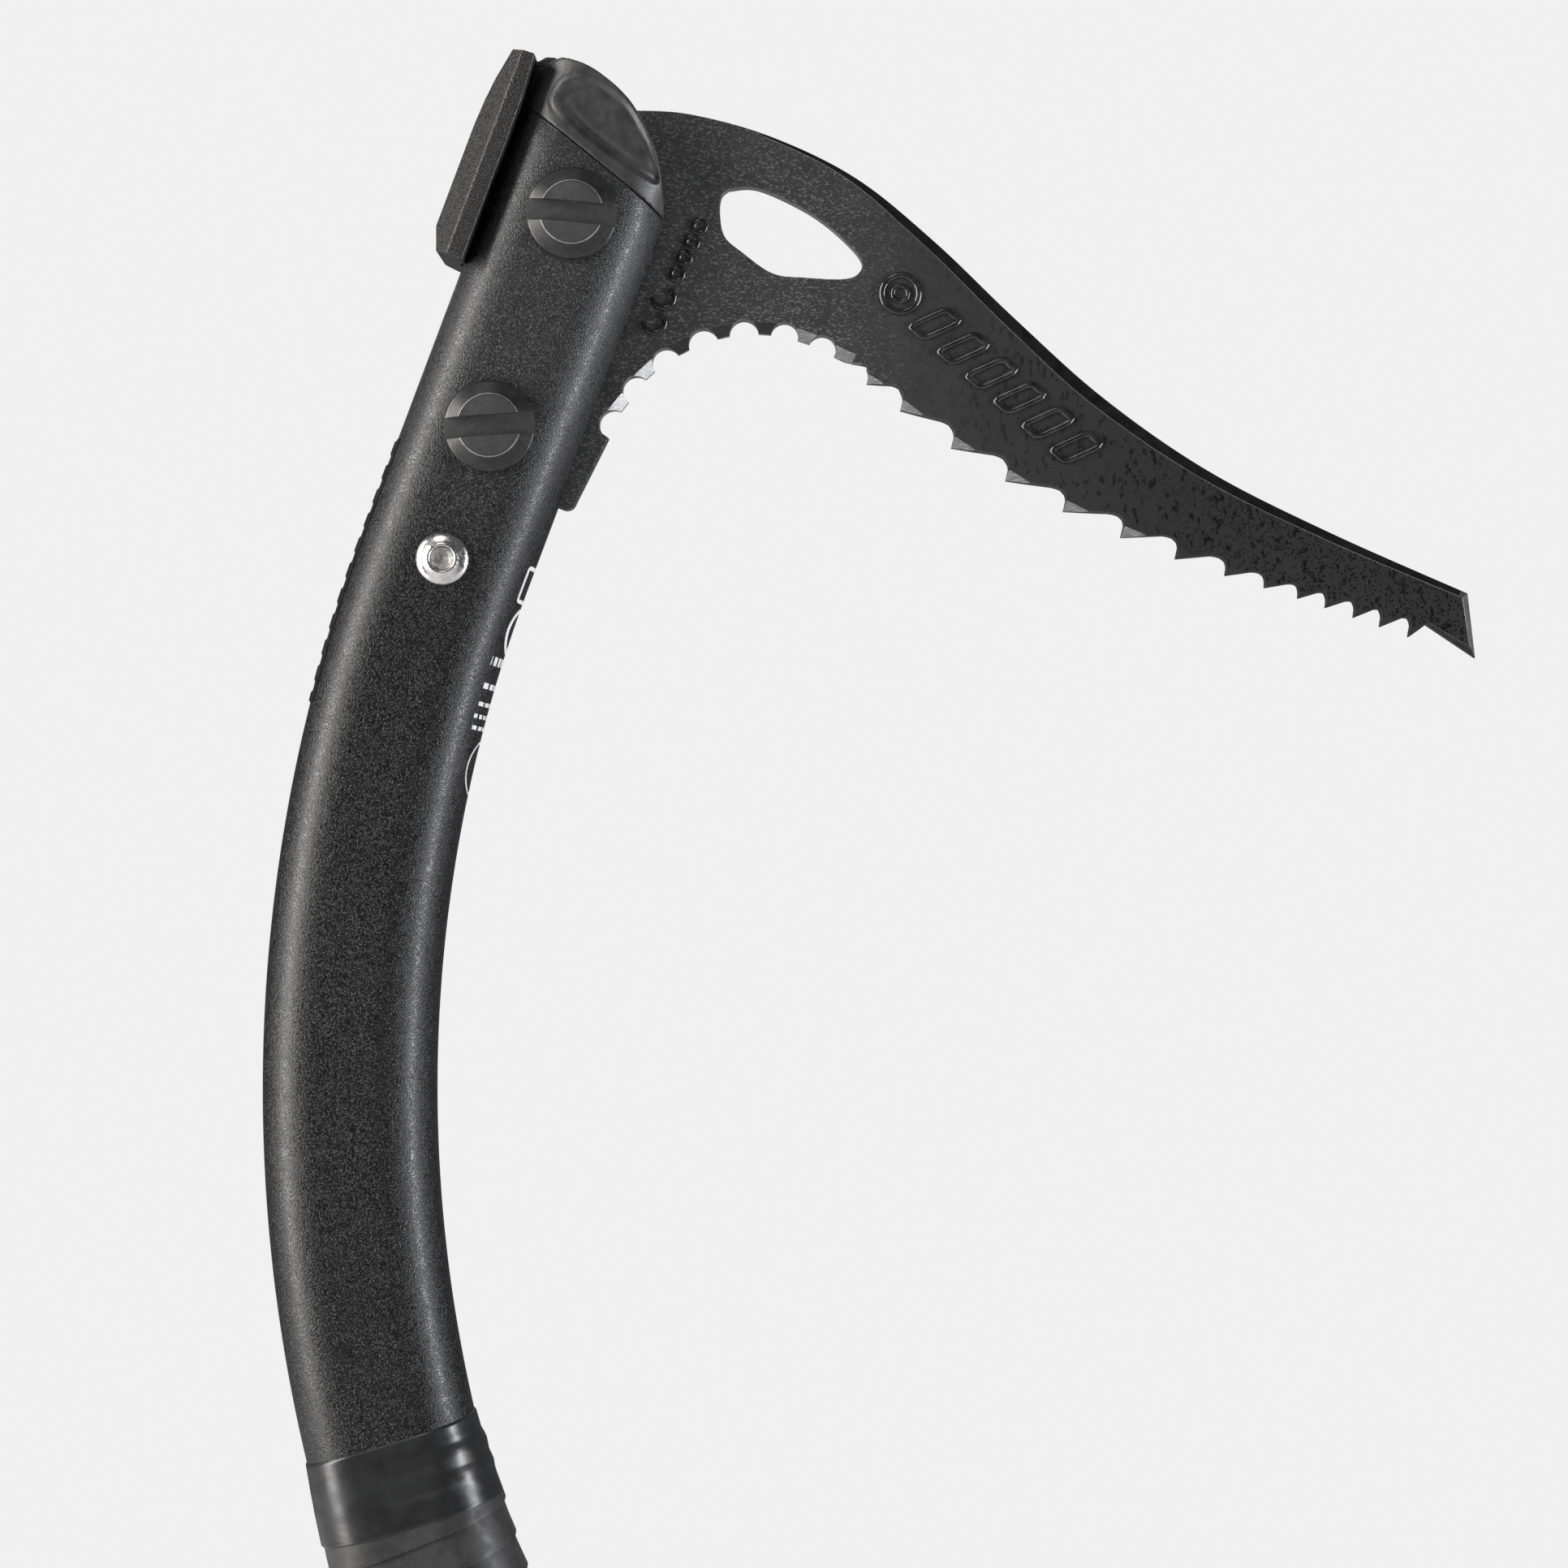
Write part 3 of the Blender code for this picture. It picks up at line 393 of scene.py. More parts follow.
class Look:
    """A node material: a Principled shader with helpers for its procedural detail.

    A grain is the (size in mm, detail, roughness) of a noise, with a stretch of
    (rotation, scale) and a distortion where it needs them.
    """

    def __init__(self, name, roughness=0.5, metallic=0.0, specular=0.5, coat=0.0):
        self.material = bpy.data.materials.new(name)
        self.material.use_nodes = True
        self.nodes = self.material.node_tree.nodes
        self.links = self.material.node_tree.links
        self.shader = self.nodes["Principled BSDF"]
        for socket, value in (("Roughness", roughness), ("Metallic", metallic),
                              ("Specular IOR Level", specular), ("Coat Weight", coat)):
            self.shader.inputs[socket].default_value = value
        self.place = self.nodes.new("ShaderNodeTexCoord").outputs["Object"]
        self.normal = None

    def node(self, kind, inputs, **settings):
        """New node with its settings made and its inputs set, or linked where given a socket."""
        made = self.nodes.new("ShaderNode" + kind)
        for key, value in settings.items():
            setattr(made, key, value)
        for key, value in inputs.items():
            if isinstance(value, bpy.types.NodeSocket):
                self.links.new(value, made.inputs[key])
            else:
                made.inputs[key].default_value = value
        return made

    def set(self, socket, source):
        self.links.new(source, self.shader.inputs[socket])

    def noise(self, size, detail, roughness, stretch=None, distortion=0.0):
        place = self.place
        if stretch:
            turn, scale = stretch
            place = self.node("Mapping", {"Vector": place, "Rotation": turn,
                                          "Scale": scale}).outputs["Vector"]
        return self.node("TexNoise", {"Vector": place, "Scale": 1.0 / (size * MM),
                                      "Detail": detail, "Roughness": roughness,
                                      "Distortion": distortion}).outputs["Fac"]

    def cells(self, size, smoothness):
        return self.node("TexVoronoi", {"Vector": self.place, "Scale": 1.0 / (size * MM),
                                        "Smoothness": smoothness},
                         feature="SMOOTH_F1").outputs["Distance"]

    def axis(self, name):
        return self.node("SeparateXYZ", {"Vector": self.place}).outputs[name]

    def ranged(self, source, low, high, to_low=0.0, to_high=1.0):
        """Smooth step of a source from one value to another."""
        return self.node("MapRange", {"Value": source, "From Min": low, "From Max": high,
                                      "To Min": to_low, "To Max": to_high},
                         interpolation_type="SMOOTHSTEP").outputs["Result"]

    def mottle(self, grain, low=0.0, high=1.0, start=0.3, end=0.7):
        """Noise of a grain, from low where it is under start to high where it is over end."""
        return self.ranged(self.noise(*grain), start, end, low, high)

    def maths(self, operation, first, second):
        return self.node("Math", {0: first, 1: second}, operation=operation).outputs["Value"]

    def plus(self, first, second):
        return self.maths("ADD", first, second)

    def times(self, first, second):
        return self.maths("MULTIPLY", first, second)

    def reverse(self, mask):
        return self.maths("SUBTRACT", 1.0, mask)

    def colour(self, low, high, source):
        """Base colour between two colours, by a mask."""
        made = self.node("Mix", {"Factor": source}, data_type="RGBA")
        ends = [socket for socket in made.inputs if socket.type == "RGBA"]
        for end, value in zip(ends, (low, high)):
            end.default_value = (*value, 1.0)
        self.set("Base Color", next(o for o in made.outputs if o.type == "RGBA"))

    def tint(self, low, high, grain, start=0.35, end=0.7):
        """Base colour mottled between two colours."""
        self.colour(low, high, self.mottle(grain, start=start, end=end))

    def sheen(self, grain, low, high):
        """Roughness mottled between two values."""
        self.set("Roughness", self.mottle(grain, low, high))

    def bump(self, height, depth):
        """Relief of about `depth` mm, on top of any earlier relief."""
        inputs = {"Height": height, "Distance": depth * MM, "Strength": 1.0}
        if self.normal:
            inputs["Normal"] = self.normal
        self.normal = self.node("Bump", inputs).outputs["Normal"]
        self.set("Normal", self.normal)

    def relief(self, grain, depth):
        self.bump(self.noise(*grain), depth)


def grey(value, warmth=0.0):
    return (value * (1 + warmth), value, value * (1 - warmth))


def shaft_paint():
    """Black textured coat on aluminium with a fine leathery grain. Its colour holds painted light:
    the crests of the grain are painted lighter as sparkle highlights, the rest of the grain darker
    as painted shade, and the coat lighter toward the top of the shaft as painted light from above.
    """
    look = Look("shaft_textured_coat", 0.36)
    peel = look.noise(0.28, 2.0, 0.5)
    look.bump(look.ranged(peel, 0.40, 0.66), 0.040)
    # Painted highlight and shade: the grain's crests are lighter in colour, standing in for their
    # sparkle, and the rest of the grain stays darker.
    crests = look.ranged(peel, 0.56, 0.70)
    sparkle_mottle = look.mottle((14.0, 5.0, 0.6), 0.7, 1.0)
    # Painted light: the colour is lighter toward the top of the shaft, standing in for light from
    # above.
    dust_and_top_light = look.ranged(look.axis("Z"), 275.0 * MM, 335.0 * MM, 0.0, 0.17)
    grain = look.plus(look.times(crests, sparkle_mottle), dust_and_top_light)
    look.colour(grey(0.002), grey(0.105, -0.02), grain)
    look.sheen((2.2, 4.0, 0.6), 0.26, 0.36)
    return look.material


def pick_paint():
    """Stoved black paint on forged steel: sandy at the shaft, pitted and glossier at the point."""
    look = Look("pick_forged_paint", 0.3)
    along = look.axis("X")
    smoothness = look.ranged(along, 15.0 * MM, 90.0 * MM)
    sand = look.mottle((0.30, 2.0, 0.5, ((0.0, 0.3, 0.0), (0.55, 1.0, 1.1)), 0.3),
                       start=0.42, end=0.66)
    pits = look.mottle((0.8, 2.0, 0.5, ((0.0, 0.35, 0.0), (1.0, 1.0, 0.55))), start=0.31, end=0.45)
    pebbles = look.ranged(look.cells(0.62, 0.35), 0.20, 0.46)
    rough = look.times(sand, look.reverse(smoothness))
    calm = look.times(pits, smoothness)
    look.bump(look.plus(rough, calm), 0.035)
    near_point = look.ranged(along, 65.0 * MM, 115.0 * MM)
    look.bump(look.times(pebbles, near_point), 0.03)
    patina = look.mottle((9.0, 5.0, 0.6), 0.8, 1.0, 0.35)
    tone = look.times(patina, look.ranged(along, 15.0 * MM, 95.0 * MM, 0.32, 0.03))
    # Painted highlight and shade: the sand's crests are painted lighter, standing in for their
    # sparkle, and the pits and the dimples near the point stay darker than the flat between them as
    # painted shade.
    crests = look.times(look.ranged(rough, 0.6, 1.0), 0.8)
    dimples = look.times(look.reverse(pebbles), near_point)
    hollows = look.times(look.times(calm, look.reverse(dimples)), 0.20)
    look.colour(grey(0.001), grey(0.115, -0.01), look.plus(look.plus(tone, crests), hollows))
    patches = look.mottle((3.0, 3.0, 0.5), 0.0, 0.06)
    base = look.ranged(along, 5.0 * MM, 90.0 * MM, 0.36, 0.20)
    look.set("Roughness", look.plus(base, patches))
    return look.material


def mark_paint():
    """The same paint pooled glossy over the forged marks."""
    look = Look("pick_glossy_marks", 0.14, coat=0.4)
    look.tint(grey(0.008), grey(0.030), (2.0, 3.0, 0.6))
    look.relief((0.6, 2.0, 0.5), 0.02)
    look.sheen((1.0, 3.0, 0.6), 0.10, 0.20)
    return look.material


def edge_paint(name="pick_worn_highlit_edge", low=0.16, high=0.36):
    """Ground facets and arrises, where the paint is thin and steel shows through, painted lighter
    as well as painted highlight, standing in for the light that they catch.
    """
    look = Look(name, 0.35, 0.35)
    scratches = look.noise(0.5, 4.0, 0.7, ((0.0, 0.5, 0.0), (0.25, 1.0, 2.0)))
    look.colour(grey(low), grey(high), look.ranged(scratches, 0.42, 0.72))
    look.sheen((1.0, 3.0, 0.6), 0.28, 0.46)
    look.bump(scratches, 0.02)
    return look.material


def bevel_paint():
    """Glossier, blacker paint on the long ground bevels of the pick, its blackness partly painted
    shade; it is also put as painted shade on the facets that face away from the lamps.
    """
    look = Look("pick_bevel_paint", 0.2)
    look.tint(grey(0.005), grey(0.013), (2.5, 4.0, 0.6), 0.3)
    look.relief((0.8, 3.0, 0.6, ((0.0, 0.5, 0.0), (0.3, 1.0, 1.5))), 0.03)
    look.sheen((1.4, 3.0, 0.6), 0.16, 0.30)
    return look.material


def hammer_paint():
    look = Look("hammer_forged_paint", 0.38)
    grain = look.mottle((0.28, 2.0, 0.5), start=0.38, end=0.68)
    look.bump(grain, 0.035)
    # Painted highlight and shade: the colour follows the bump's grain, lighter on its crests as
    # their sparkle and darker in the hollows between them as painted shade.
    look.colour(grey(0.012, 0.03), grey(0.050, 0.03), grain)
    look.sheen((1.6, 3.0, 0.6), 0.29, 0.38)
    return look.material


def bolt_black(name, low, high):
    """Oxidised steel turned on a lathe: fine rings round the bolt's own axis."""
    look = Look(name, 0.33, 0.30)
    rings = look.node("TexWave", {"Vector": look.place, "Scale": 900.0, "Distortion": 1.2,
                                  "Detail": 2.0}, wave_type="RINGS", rings_direction="Z")
    look.bump(rings.outputs["Fac"], 0.006)
    look.relief((0.35, 3.0, 0.6), 0.006)
    look.tint(grey(low), grey(high), (2.5, 5.0, 0.65))
    look.sheen((0.8, 3.0, 0.6), 0.27, 0.40)
    return look.material


def zinc():
    look = Look("zinc_plate", 0.2, 1.0)
    look.tint(grey(0.62, 0.02), grey(0.80, 0.01), (1.2, 5.0, 0.65), 0.3)
    look.sheen((0.5, 4.0, 0.6), 0.14, 0.32)
    look.relief((0.3, 3.0, 0.6), 0.006)
    return look.material


def mandrel_steel():
    look = Look("mandrel_dull_steel", 0.42, 0.3)
    look.tint(grey(0.30, 0.04), grey(0.72, 0.03), (1.1, 4.0, 0.6), end=0.65)
    look.relief((0.8, 3.0, 0.6), 0.03)
    return look.material


def cap_rubber():
    """Satin moulded rubber, slightly greyer where it has been rubbed."""
    look = Look("cap_moulded_rubber", 0.42)
    look.bump(look.mottle((0.55, 3.0, 0.6)), 0.012)
    look.relief((3.0, 2.0, 0.5), 0.05)
    look.tint(grey(0.030), grey(0.050), (4.0, 5.0, 0.65))
    look.sheen((2.0, 4.0, 0.6), 0.36, 0.5)
    return look.material


def strip_rubber():
    """Dull black rubber of the raised dashes on the spine."""
    look = Look("spine_strip_rubber", 0.55, specular=0.2)
    look.bump(look.mottle((0.5, 3.0, 0.6)), 0.015)
    look.tint(grey(0.006), grey(0.014), (3.0, 4.0, 0.6))
    look.sheen((1.5, 3.0, 0.6), 0.48, 0.64)
    return look.material


def liner_plastic():
    look = Look("liner_glass_filled", 0.55)
    look.relief((0.5, 3.0, 0.6), 0.02)
    look.tint(grey(0.045), grey(0.075), (5.0, 4.0, 0.6))
    look.sheen((1.5, 3.0, 0.6), 0.48, 0.62)
    return look.material


def gloss_tape():
    """Stretched vinyl finishing tape."""
    look = Look("gloss_vinyl_tape", 0.2)
    look.relief((3.2, 2.0, 0.5, ((0.0, 0.27, 0.0), (0.3, 0.3, 1.6))), 0.035)
    look.relief((0.5, 3.0, 0.6), 0.006)
    look.tint(grey(0.013), grey(0.021, -0.04), (6.0, 3.0, 0.5), 0.3)
    look.sheen((2.5, 3.0, 0.5), 0.27, 0.35)
    return look.material


def grip_rubber():
    """Matt self-amalgamating tape with dusty specks."""
    look = Look("matt_rubber_tape", 0.5)
    look.relief((0.4, 3.0, 0.6), 0.014)
    look.relief((5.0, 2.0, 0.5), 0.15)
    dust_and_top_light = look.mottle((0.9, 5.0, 0.75), start=0.66, end=0.76)
    tone = look.mottle((6.0, 4.0, 0.6), 0.0, 0.35)
    look.colour(grey(0.022), grey(0.075), look.maths("MAXIMUM", tone, dust_and_top_light))
    look.sheen((2.0, 4.0, 0.6), 0.42, 0.58)
    return look.material


def rest_plastic():
    look = Look("rest_moulded_nylon", 0.48)
    look.bump(look.mottle((0.6, 3.0, 0.6)), 0.03)
    look.tint(grey(0.016), grey(0.028), (6.0, 5.0, 0.6))
    look.sheen((1.8, 4.0, 0.6), 0.40, 0.56)
    return look.material


def white_print():
    look = Look("white_print", 0.45)
    look.tint(grey(0.62), grey(0.80), (0.6, 4.0, 0.7), 0.3, 0.6)
    look.relief((0.5, 3.0, 0.6), 0.02)
    return look.material


def floor_paper():
    look = Look("floor_paper", 0.9, specular=0.1)
    look.colour(grey(0.66), grey(0.69), look.noise(60.0, 4.0, 0.6))
    look.relief((1.5, 3.0, 0.6), 0.02)
    return look.material


# ---- the shaft's section

def section_legs():
    """The section from its front toward the near side, as (length, kind, data) legs."""
    x, y = SHAFT_HALF_WIDTH, SHAFT_HALF_DEPTH
    flat_x, flat_y = x - SHAFT_CORNER, y - SHAFT_CORNER
    quarter = SHAFT_CORNER * math.pi / 2
    return [(flat_y, "line", ((x, 0.0), (0.0, -1.0))),
            (quarter, "arc", ((flat_x, -flat_y), 0.0)),
            (2 * flat_x, "line", ((flat_x, -y), (-1.0, 0.0))),
            (quarter, "arc", ((-flat_x, -flat_y), -90.0)),
            (2 * flat_y, "line", ((-x, -flat_y), (0.0, 1.0))),
            (quarter, "arc", ((-flat_x, flat_y), -180.0)),
            (2 * flat_x, "line", ((-flat_x, y), (1.0, 0.0))),
            (quarter, "arc", ((flat_x, flat_y), -270.0)),
            (flat_y, "line", ((x, flat_y), (0.0, -1.0)))]


LEGS = section_legs()
GIRTH = sum(leg[0] for leg in LEGS)


def around(length):
    """Point and outward normal of the section at an arc length from its front."""
    rest = length % GIRTH
    for size, kind, data in LEGS:
        if rest <= size:
            break
        rest -= size
    if kind == "line":
        start, way = Vector(data[0]), Vector(data[1])
        return start + way * rest, Vector((-way.y, way.x))
    angle = math.radians(data[1]) - rest / SHAFT_CORNER
    normal = Vector((math.cos(angle), math.sin(angle)))
    return Vector(data[0]) + normal * SHAFT_CORNER, normal


def columns():
    """Arc lengths round the section, close together on the corners."""
    places = []
    start = 0.0
    for size, kind, _ in LEGS:
        steps = 18 if kind == "arc" else max(1, round(size / 1.6))
        places += [start + size * i / steps for i in range(steps)]
        start += size
    return places


def on_shaft(length, distance, lift):
    point, normal = around(length)
    point = point + normal * lift
    return station(distance) @ Vector((point.x, point.y, 0.0))


def sleeve(name, rows, matrix, fractions=None, closed=True):
    """Solid round the shaft. rows(column) gives outer and inner (distance, lift) pairs."""
    rings = []
    for place in fractions or columns():
        outer, inner = rows(place)
        rings.append([on_shaft(place, distance, lift)
                      for distance, lift in outer + list(reversed(inner))])
    return rope(name, rings, matrix, closed=closed, caps=False)


def shaft_rows(place):
    """Distances down the tube: sheared to the oblique rim, level below it."""
    point, _ = around(place)
    rim = RIM_HEIGHT + RIM_SLOPE * point.x
    levels = 16
    head = [-rim * (1 - i / levels) for i in range(levels)]
    bend_steps = 104
    bend = [BEND_LENGTH * i / bend_steps for i in range(bend_steps + 1)]
    straight, handle_steps = HANDLE_TOP - SHAFT_FOOT, 26
    handle = [BEND_LENGTH + straight * i / handle_steps for i in range(1, handle_steps + 1)]
    distances = head + bend + handle
    foot = distances[-1]
    rounding = ((0.0, -0.30), (0.10, -0.10), (0.30, 0.0))
    outer = [(-rim + down, lift) for down, lift in rounding]
    outer += [(d, 0.0) for d in distances[1:-1]]
    outer += [(foot - down, lift) for down, lift in reversed(rounding)]
    inner = [(-rim, -SHAFT_WALL)] + [(d, -SHAFT_WALL) for d in distances[1:]]
    return outer, inner


def make_shaft(look):
    tube = sleeve("shaft_tube", shaft_rows, HEAD)
    pick_slot = 2 * (PLATE_HALF + GAP)
    fork_slot = 2 * (PLATE_HALF + GAP + CHEEK + GAP)
    carve(tube,
          block("pick_slot", (20.0, pick_slot, 80.0), (18.0, 0.0, TANG_FOOT - GAP + 40.0), HEAD),
          block("fork_slot", (20.0, fork_slot, 60.0), (-18.0, 0.0, FORK_FOOT + 30.0), HEAD))
    dress(tube, look, ["shaft"], 28)


# ---- strip, tapes and print

def make_spine(look):
    """Thin rubber strip with low raised pads along the back of the shaft."""
    middle = GIRTH / 2
    half = 5.4
    start, end = -17.0, 31.0
    pad, pitch = 3.1, 4.55
    steps = [i * 0.15 for i in range(int((end - start) / 0.15) + 1)]
    rings = []
    for step in steps:
        phase = (step - 0.4) % pitch
        rise = smoothstep(phase, 0.0, 0.45) - smoothstep(phase, pad - 0.45, pad)
        ends = smoothstep(step, 0.0, 0.3) - smoothstep(step, end - start - 0.3, end - start)
        ring = []
        for i in range(19):
            side = -half + 2 * half * i / 18
            sides = 1 - smoothstep(abs(side), half - 1.0, half - 0.4)
            lift = 0.03 + 0.07 * ends + 0.24 * rise * sides * ends
            ring.append(on_shaft(middle + side, start + step, lift))
        ring += [on_shaft(middle + side, start + step, -0.1) for side in (half, 0.0, -half)]
        rings.append(ring)
    strip = rope("spine_pads", rings, HEAD)
    dress(strip, look, ["spine_strip"], 40)


def wrinkle(point, size, depth):
    """Creases of a stretched tape, about three times as long across it as along it."""
    across = point.x / size * 0.35, point.y / size * 0.35
    return noise.noise(Vector((*across, point.z / size))) * depth


def make_band(look):
    """Gloss tape drawn tight over the top of the grip: thin at its top edge, ridged below."""
    profile = [(0.0, 0.06), (0.004, 0.20), (0.03, 0.30), (0.12, 0.36), (0.22, 0.52), (0.30, 0.86),
               (0.36, 0.98), (0.42, 0.93), (0.50, 0.88), (0.58, 1.08), (0.64, 1.16), (0.72, 1.06),
               (0.84, 1.16), (0.94, 1.30), (0.985, 1.36), (0.998, 1.28), (1.0, 1.05)]
    smooth = [(0.0, 0.06), (0.004, 0.20), (0.03, 0.30), (0.3, 0.55), (0.6, 0.90), (0.985, 1.30),
              (0.998, 1.22), (1.0, 1.05)]
    samples = [i / 60 for i in range(60)] + [0.985, 0.998, 1.0]

    def rows(place):
        point, _ = around(place)
        top = BAND_TOP + BAND_TILT * point.x
        outer = []
        for sample in samples:
            distance = top + (BAND_FOOT - top) * sample
            spot = station(distance) @ Vector((point.x, point.y, 0.0))
            calm = 0.15 + 0.85 * smoothstep(point.x, -9.0, 9.0)
            shift = 0.03 * noise.noise(spot / 9.0)
            place_in_band = sample + shift * (sample * (1 - sample)) * 4
            lift = between(place_in_band, profile) * calm
            lift += between(place_in_band, smooth) * (1 - calm)
            lift += wrinkle(spot, 2.1, 0.12) * calm * smoothstep(sample, 0.04, 0.2)
            outer.append((distance, max(lift, 0.05)))
        inner = [(top + (BAND_FOOT - top) * i / 6, -0.05) for i in range(7)]
        return outer, inner

    band = sleeve("gloss_band", rows, HEAD)
    dress(band, look, ["tape_band"], 50)


def make_grip(look):
    """Tape wound up the grip in a helix, each turn lapped over the one below it."""
    top = BAND_FOOT - 0.8
    foot = BEND_LENGTH + HANDLE_TOP - REST_TOP + 1.0
    turn = [(0.0, 0.78), (0.10, 0.84), (0.25, 0.93), (0.40, 1.02), (0.55, 1.11), (0.70, 1.19),
            (0.85, 1.26), (0.95, 1.31), (0.985, 1.27), (0.996, 1.16)]
    turns = int((foot - top) / TURN_PITCH) + 3
    marks = [(count + part, lift) for count in range(-2, turns) for part, lift in turn]

    def rows(place):
        share = place / GIRTH
        outer, inner = [], []
        for mark, lift in marks:
            distance = FIRST_TURN + TURN_PITCH * (mark + share)
            distance = min(max(distance, top), foot)
            spot = on_shaft(place, distance, 0.0)
            outer.append((distance, lift + 0.10 * noise.noise(spot / 6.0)
                          + 0.05 * noise.noise(spot / 2.2)))
            inner.append((distance, -0.05))
        return outer, inner

    places = columns() + [GIRTH - 1e-9]
    grip = sleeve("wound_grip", rows, HEAD, places, closed=False)
    dress(grip, look, ["grip_tape"], 35)


PRINT_LIFT = 0.05


def printed(path, width, closed):
    """Rings of a thin printed line on the front of the shaft, along (girth, distance) points."""
    rings = []
    for here, side in with_sides(path, closed):
        left, right = here + side * width / 2, here - side * width / 2
        rings.append([on_shaft(spot.x, spot.y, lift) for spot, lift in
                      ((left, 0.0), (right, 0.0), (right, PRINT_LIFT), (left, PRINT_LIFT))])
    return rings


def rounded_box(centre, width, height, radius=0.5):
    x, y = width / 2 - radius, height / 2 - radius
    points = []
    for sx, sy, start in ((1, 1, 0), (-1, 1, 90), (-1, -1, 180), (1, -1, 270)):
        points += arc((centre[0] + sx * x, centre[1] + sy * y), radius, start, start + 90, 4)
    dense = []
    for a, b in zip(points, points[1:] + points[:1]):
        steps = max(1, int((b - a).length / 0.6))
        dense += [a + (b - a) * i / steps for i in range(steps)]
    return dense


def make_print(look):
    """Plain printed marks on the front edge: a box, a ring, bars and a larger ring."""
    marks = [(rounded_box((0.0, -0.3), 9.0, 6.4), 0.75, True),
             (arc((0.0, 8.7), 4.0, 0, 350, 35), 1.1, True),
             (arc((0.0, 35.7), 4.9, 0, 350, 47), 0.42, True)]
    for row, (distance, reach, width) in enumerate(((15.1, 6.4, 1.7), (20.0, 6.6, 1.1),
                                                    (23.5, 6.4, 0.8), (25.9, 6.8, 0.8),
                                                    (28.1, 6.5, 0.8))):
        dash = 1.1 + 0.5 * (row % 3)
        place = -reach
        while place < reach:
            stop = min(place + dash, reach)
            path = [(place + (stop - place) * i / 3, distance) for i in range(4)]
            marks.append((path, width, False))
            place = stop + 0.7
    strands = [(printed(path, width, closed), closed) for path, width, closed in marks]
    ink = ropes("printed_marks", strands, HEAD)
    dress(ink, look, [], 50)


# ---- plates with bevelled edges

def mitres(loop):
    """Inward mitre vectors of a counter-clockwise loop, one mm of inset long across its edges."""
    result = []
    for before, here, after in zip(loop[-1:] + loop[:-1], loop, loop[1:] + loop[:1]):
        first = (here - before).normalized()
        second = (after - here).normalized()
        first = Vector((-first.y, first.x))
        second = Vector((-second.y, second.x))
        share = max(1 + first.dot(second), 0.45)
        result.append((first + second) / share)
    return result


# Steps over a plate's edge, as shares of its inset and of its drop
ROUNDED_EDGE = ((0.0, 1.0), (0.35, 0.35), (1.0, 0.06))
GROUND_EDGE = ((0.0, 1.0), (0.5, 0.53), (1.0, 0.06))
WIDE = 0.5                   # an edge is ground from this inset on


def plate(name, outline, holes, matrix, half, edge, bevels):
    """Plate in the XZ plane with bevelled edges.

    bevels(point) gives a wider (inset, drop) for a point of the outline, or None.
    """
    loops = []
    for index, loop in enumerate([outline] + holes):
        loop = [Vector(p) for p in loop]
        if signed_area(loop) < 0:
            loop.reverse()
        inward = mitres(loop)
        if index:
            inward = [-m for m in inward]
        sizes = [(None if index else bevels(p)) or (edge, edge) for p in loop]
        insets = [[], [], []]
        for p, m, (width, drop) in zip(loop, inward, sizes):
            steps = ROUNDED_EDGE if width < WIDE else GROUND_EDGE
            for ring, (inset_share, drop_share) in zip(insets, steps):
                ring.append((p + m * width * inset_share, half - drop * drop_share))
        insets.append([(p + m * (width + 0.13), half)
                       for p, m, (width, _) in zip(loop, inward, sizes)])
        near = [[(p.x, -h, p.y) for p, h in ring] for ring in reversed(insets)]
        far = [[(p.x, h, p.y) for p, h in ring] for ring in insets]
        loops.append(near + far)
    bands = [GROUND] + [PAINTED] * 5 + [GROUND]
    return lofted(name, loops, matrix, bands)


BOX_FACES = ((0, 1, 3, 2), (4, 6, 7, 5), (0, 4, 5, 1), (2, 3, 7, 6), (0, 2, 6, 4), (1, 5, 7, 3))
# The pick's looks, in the order of its material slots. On the facets, the ground, glossy and bare
# looks also serve as painted highlight and painted shade.
PAINTED, GROUND, GLOSSY_AND_SHADED, POINT_STEEL, BARE_AND_HIGHLIT = range(5)


def facets(name, cuts, half, matrix):
    """Wedges that grind flat facets. Each cut is crease start, crease end, corner and depth."""
    shape = bmesh.new()
    for start, end, corner, depth in cuts:
        start, end, corner = Vector(start), Vector(end), Vector(corner)
        for side in (-1, 1):
            along = (end - start).normalized()
            foot = start + along * (corner - start).dot(along)
            down = Vector((corner.x - foot.x, -side * depth, corner.y - foot.y))
            reach = down.length + 0.8
            down.normalize()
            middle = (start + end) / 2
            half_length = (end - start).length / 2 + 0.7
            line = Vector((along.x, 0.0, along.y))
            up = line.cross(down).normalized()
            if up.y * side < 0:
                up = -up
            origin = Vector((middle.x, side * half, middle.y))
            corners = [origin + line * (a * half_length) + down * b + up * c
                       for a in (-1, 1) for b in (0.0, reach) for c in (0.0, 3.5)]
            vertices = [shape.verts.new(c) for c in corners]
            for face in BOX_FACES:
                shape.faces.new([vertices[i] for i in face]).material_index = GROUND
    return new_object(name, shape, matrix)


# ---- pick

BRIGHT_FACETS = 117.0        # the teeth's facets are ground bare and painted lighter, as painted highlight, up to here, and painted black, as painted shade, beyond
BLUNT_CENTRES = ((20.4, 36.6), (22.7, 43.5), (26.9, 49.5), (32.6, 54.5), (39.3, 57.6),
                 (46.3, 58.7), (53.4, 58.1))
SAW_TIPS = (54.6, 59.5, 66.8, 77.7, 88.9, 100.5, 111.8, 122.3, 131.7, 139.1, 145.4, 150.6,
            155.9, 160.9, 166.3)
TOP_EDGE = ((2.4, 86.4), (12.8, 89.6), (28.0, 91.0), (45.0, 89.4), (62.0, 83.8), (80.0, 76.1),
            (100.0, 68.3), (122.0, 62.7), (146.0, 60.0), (173.4, 58.4))
POINT = (178.8, 48.1)
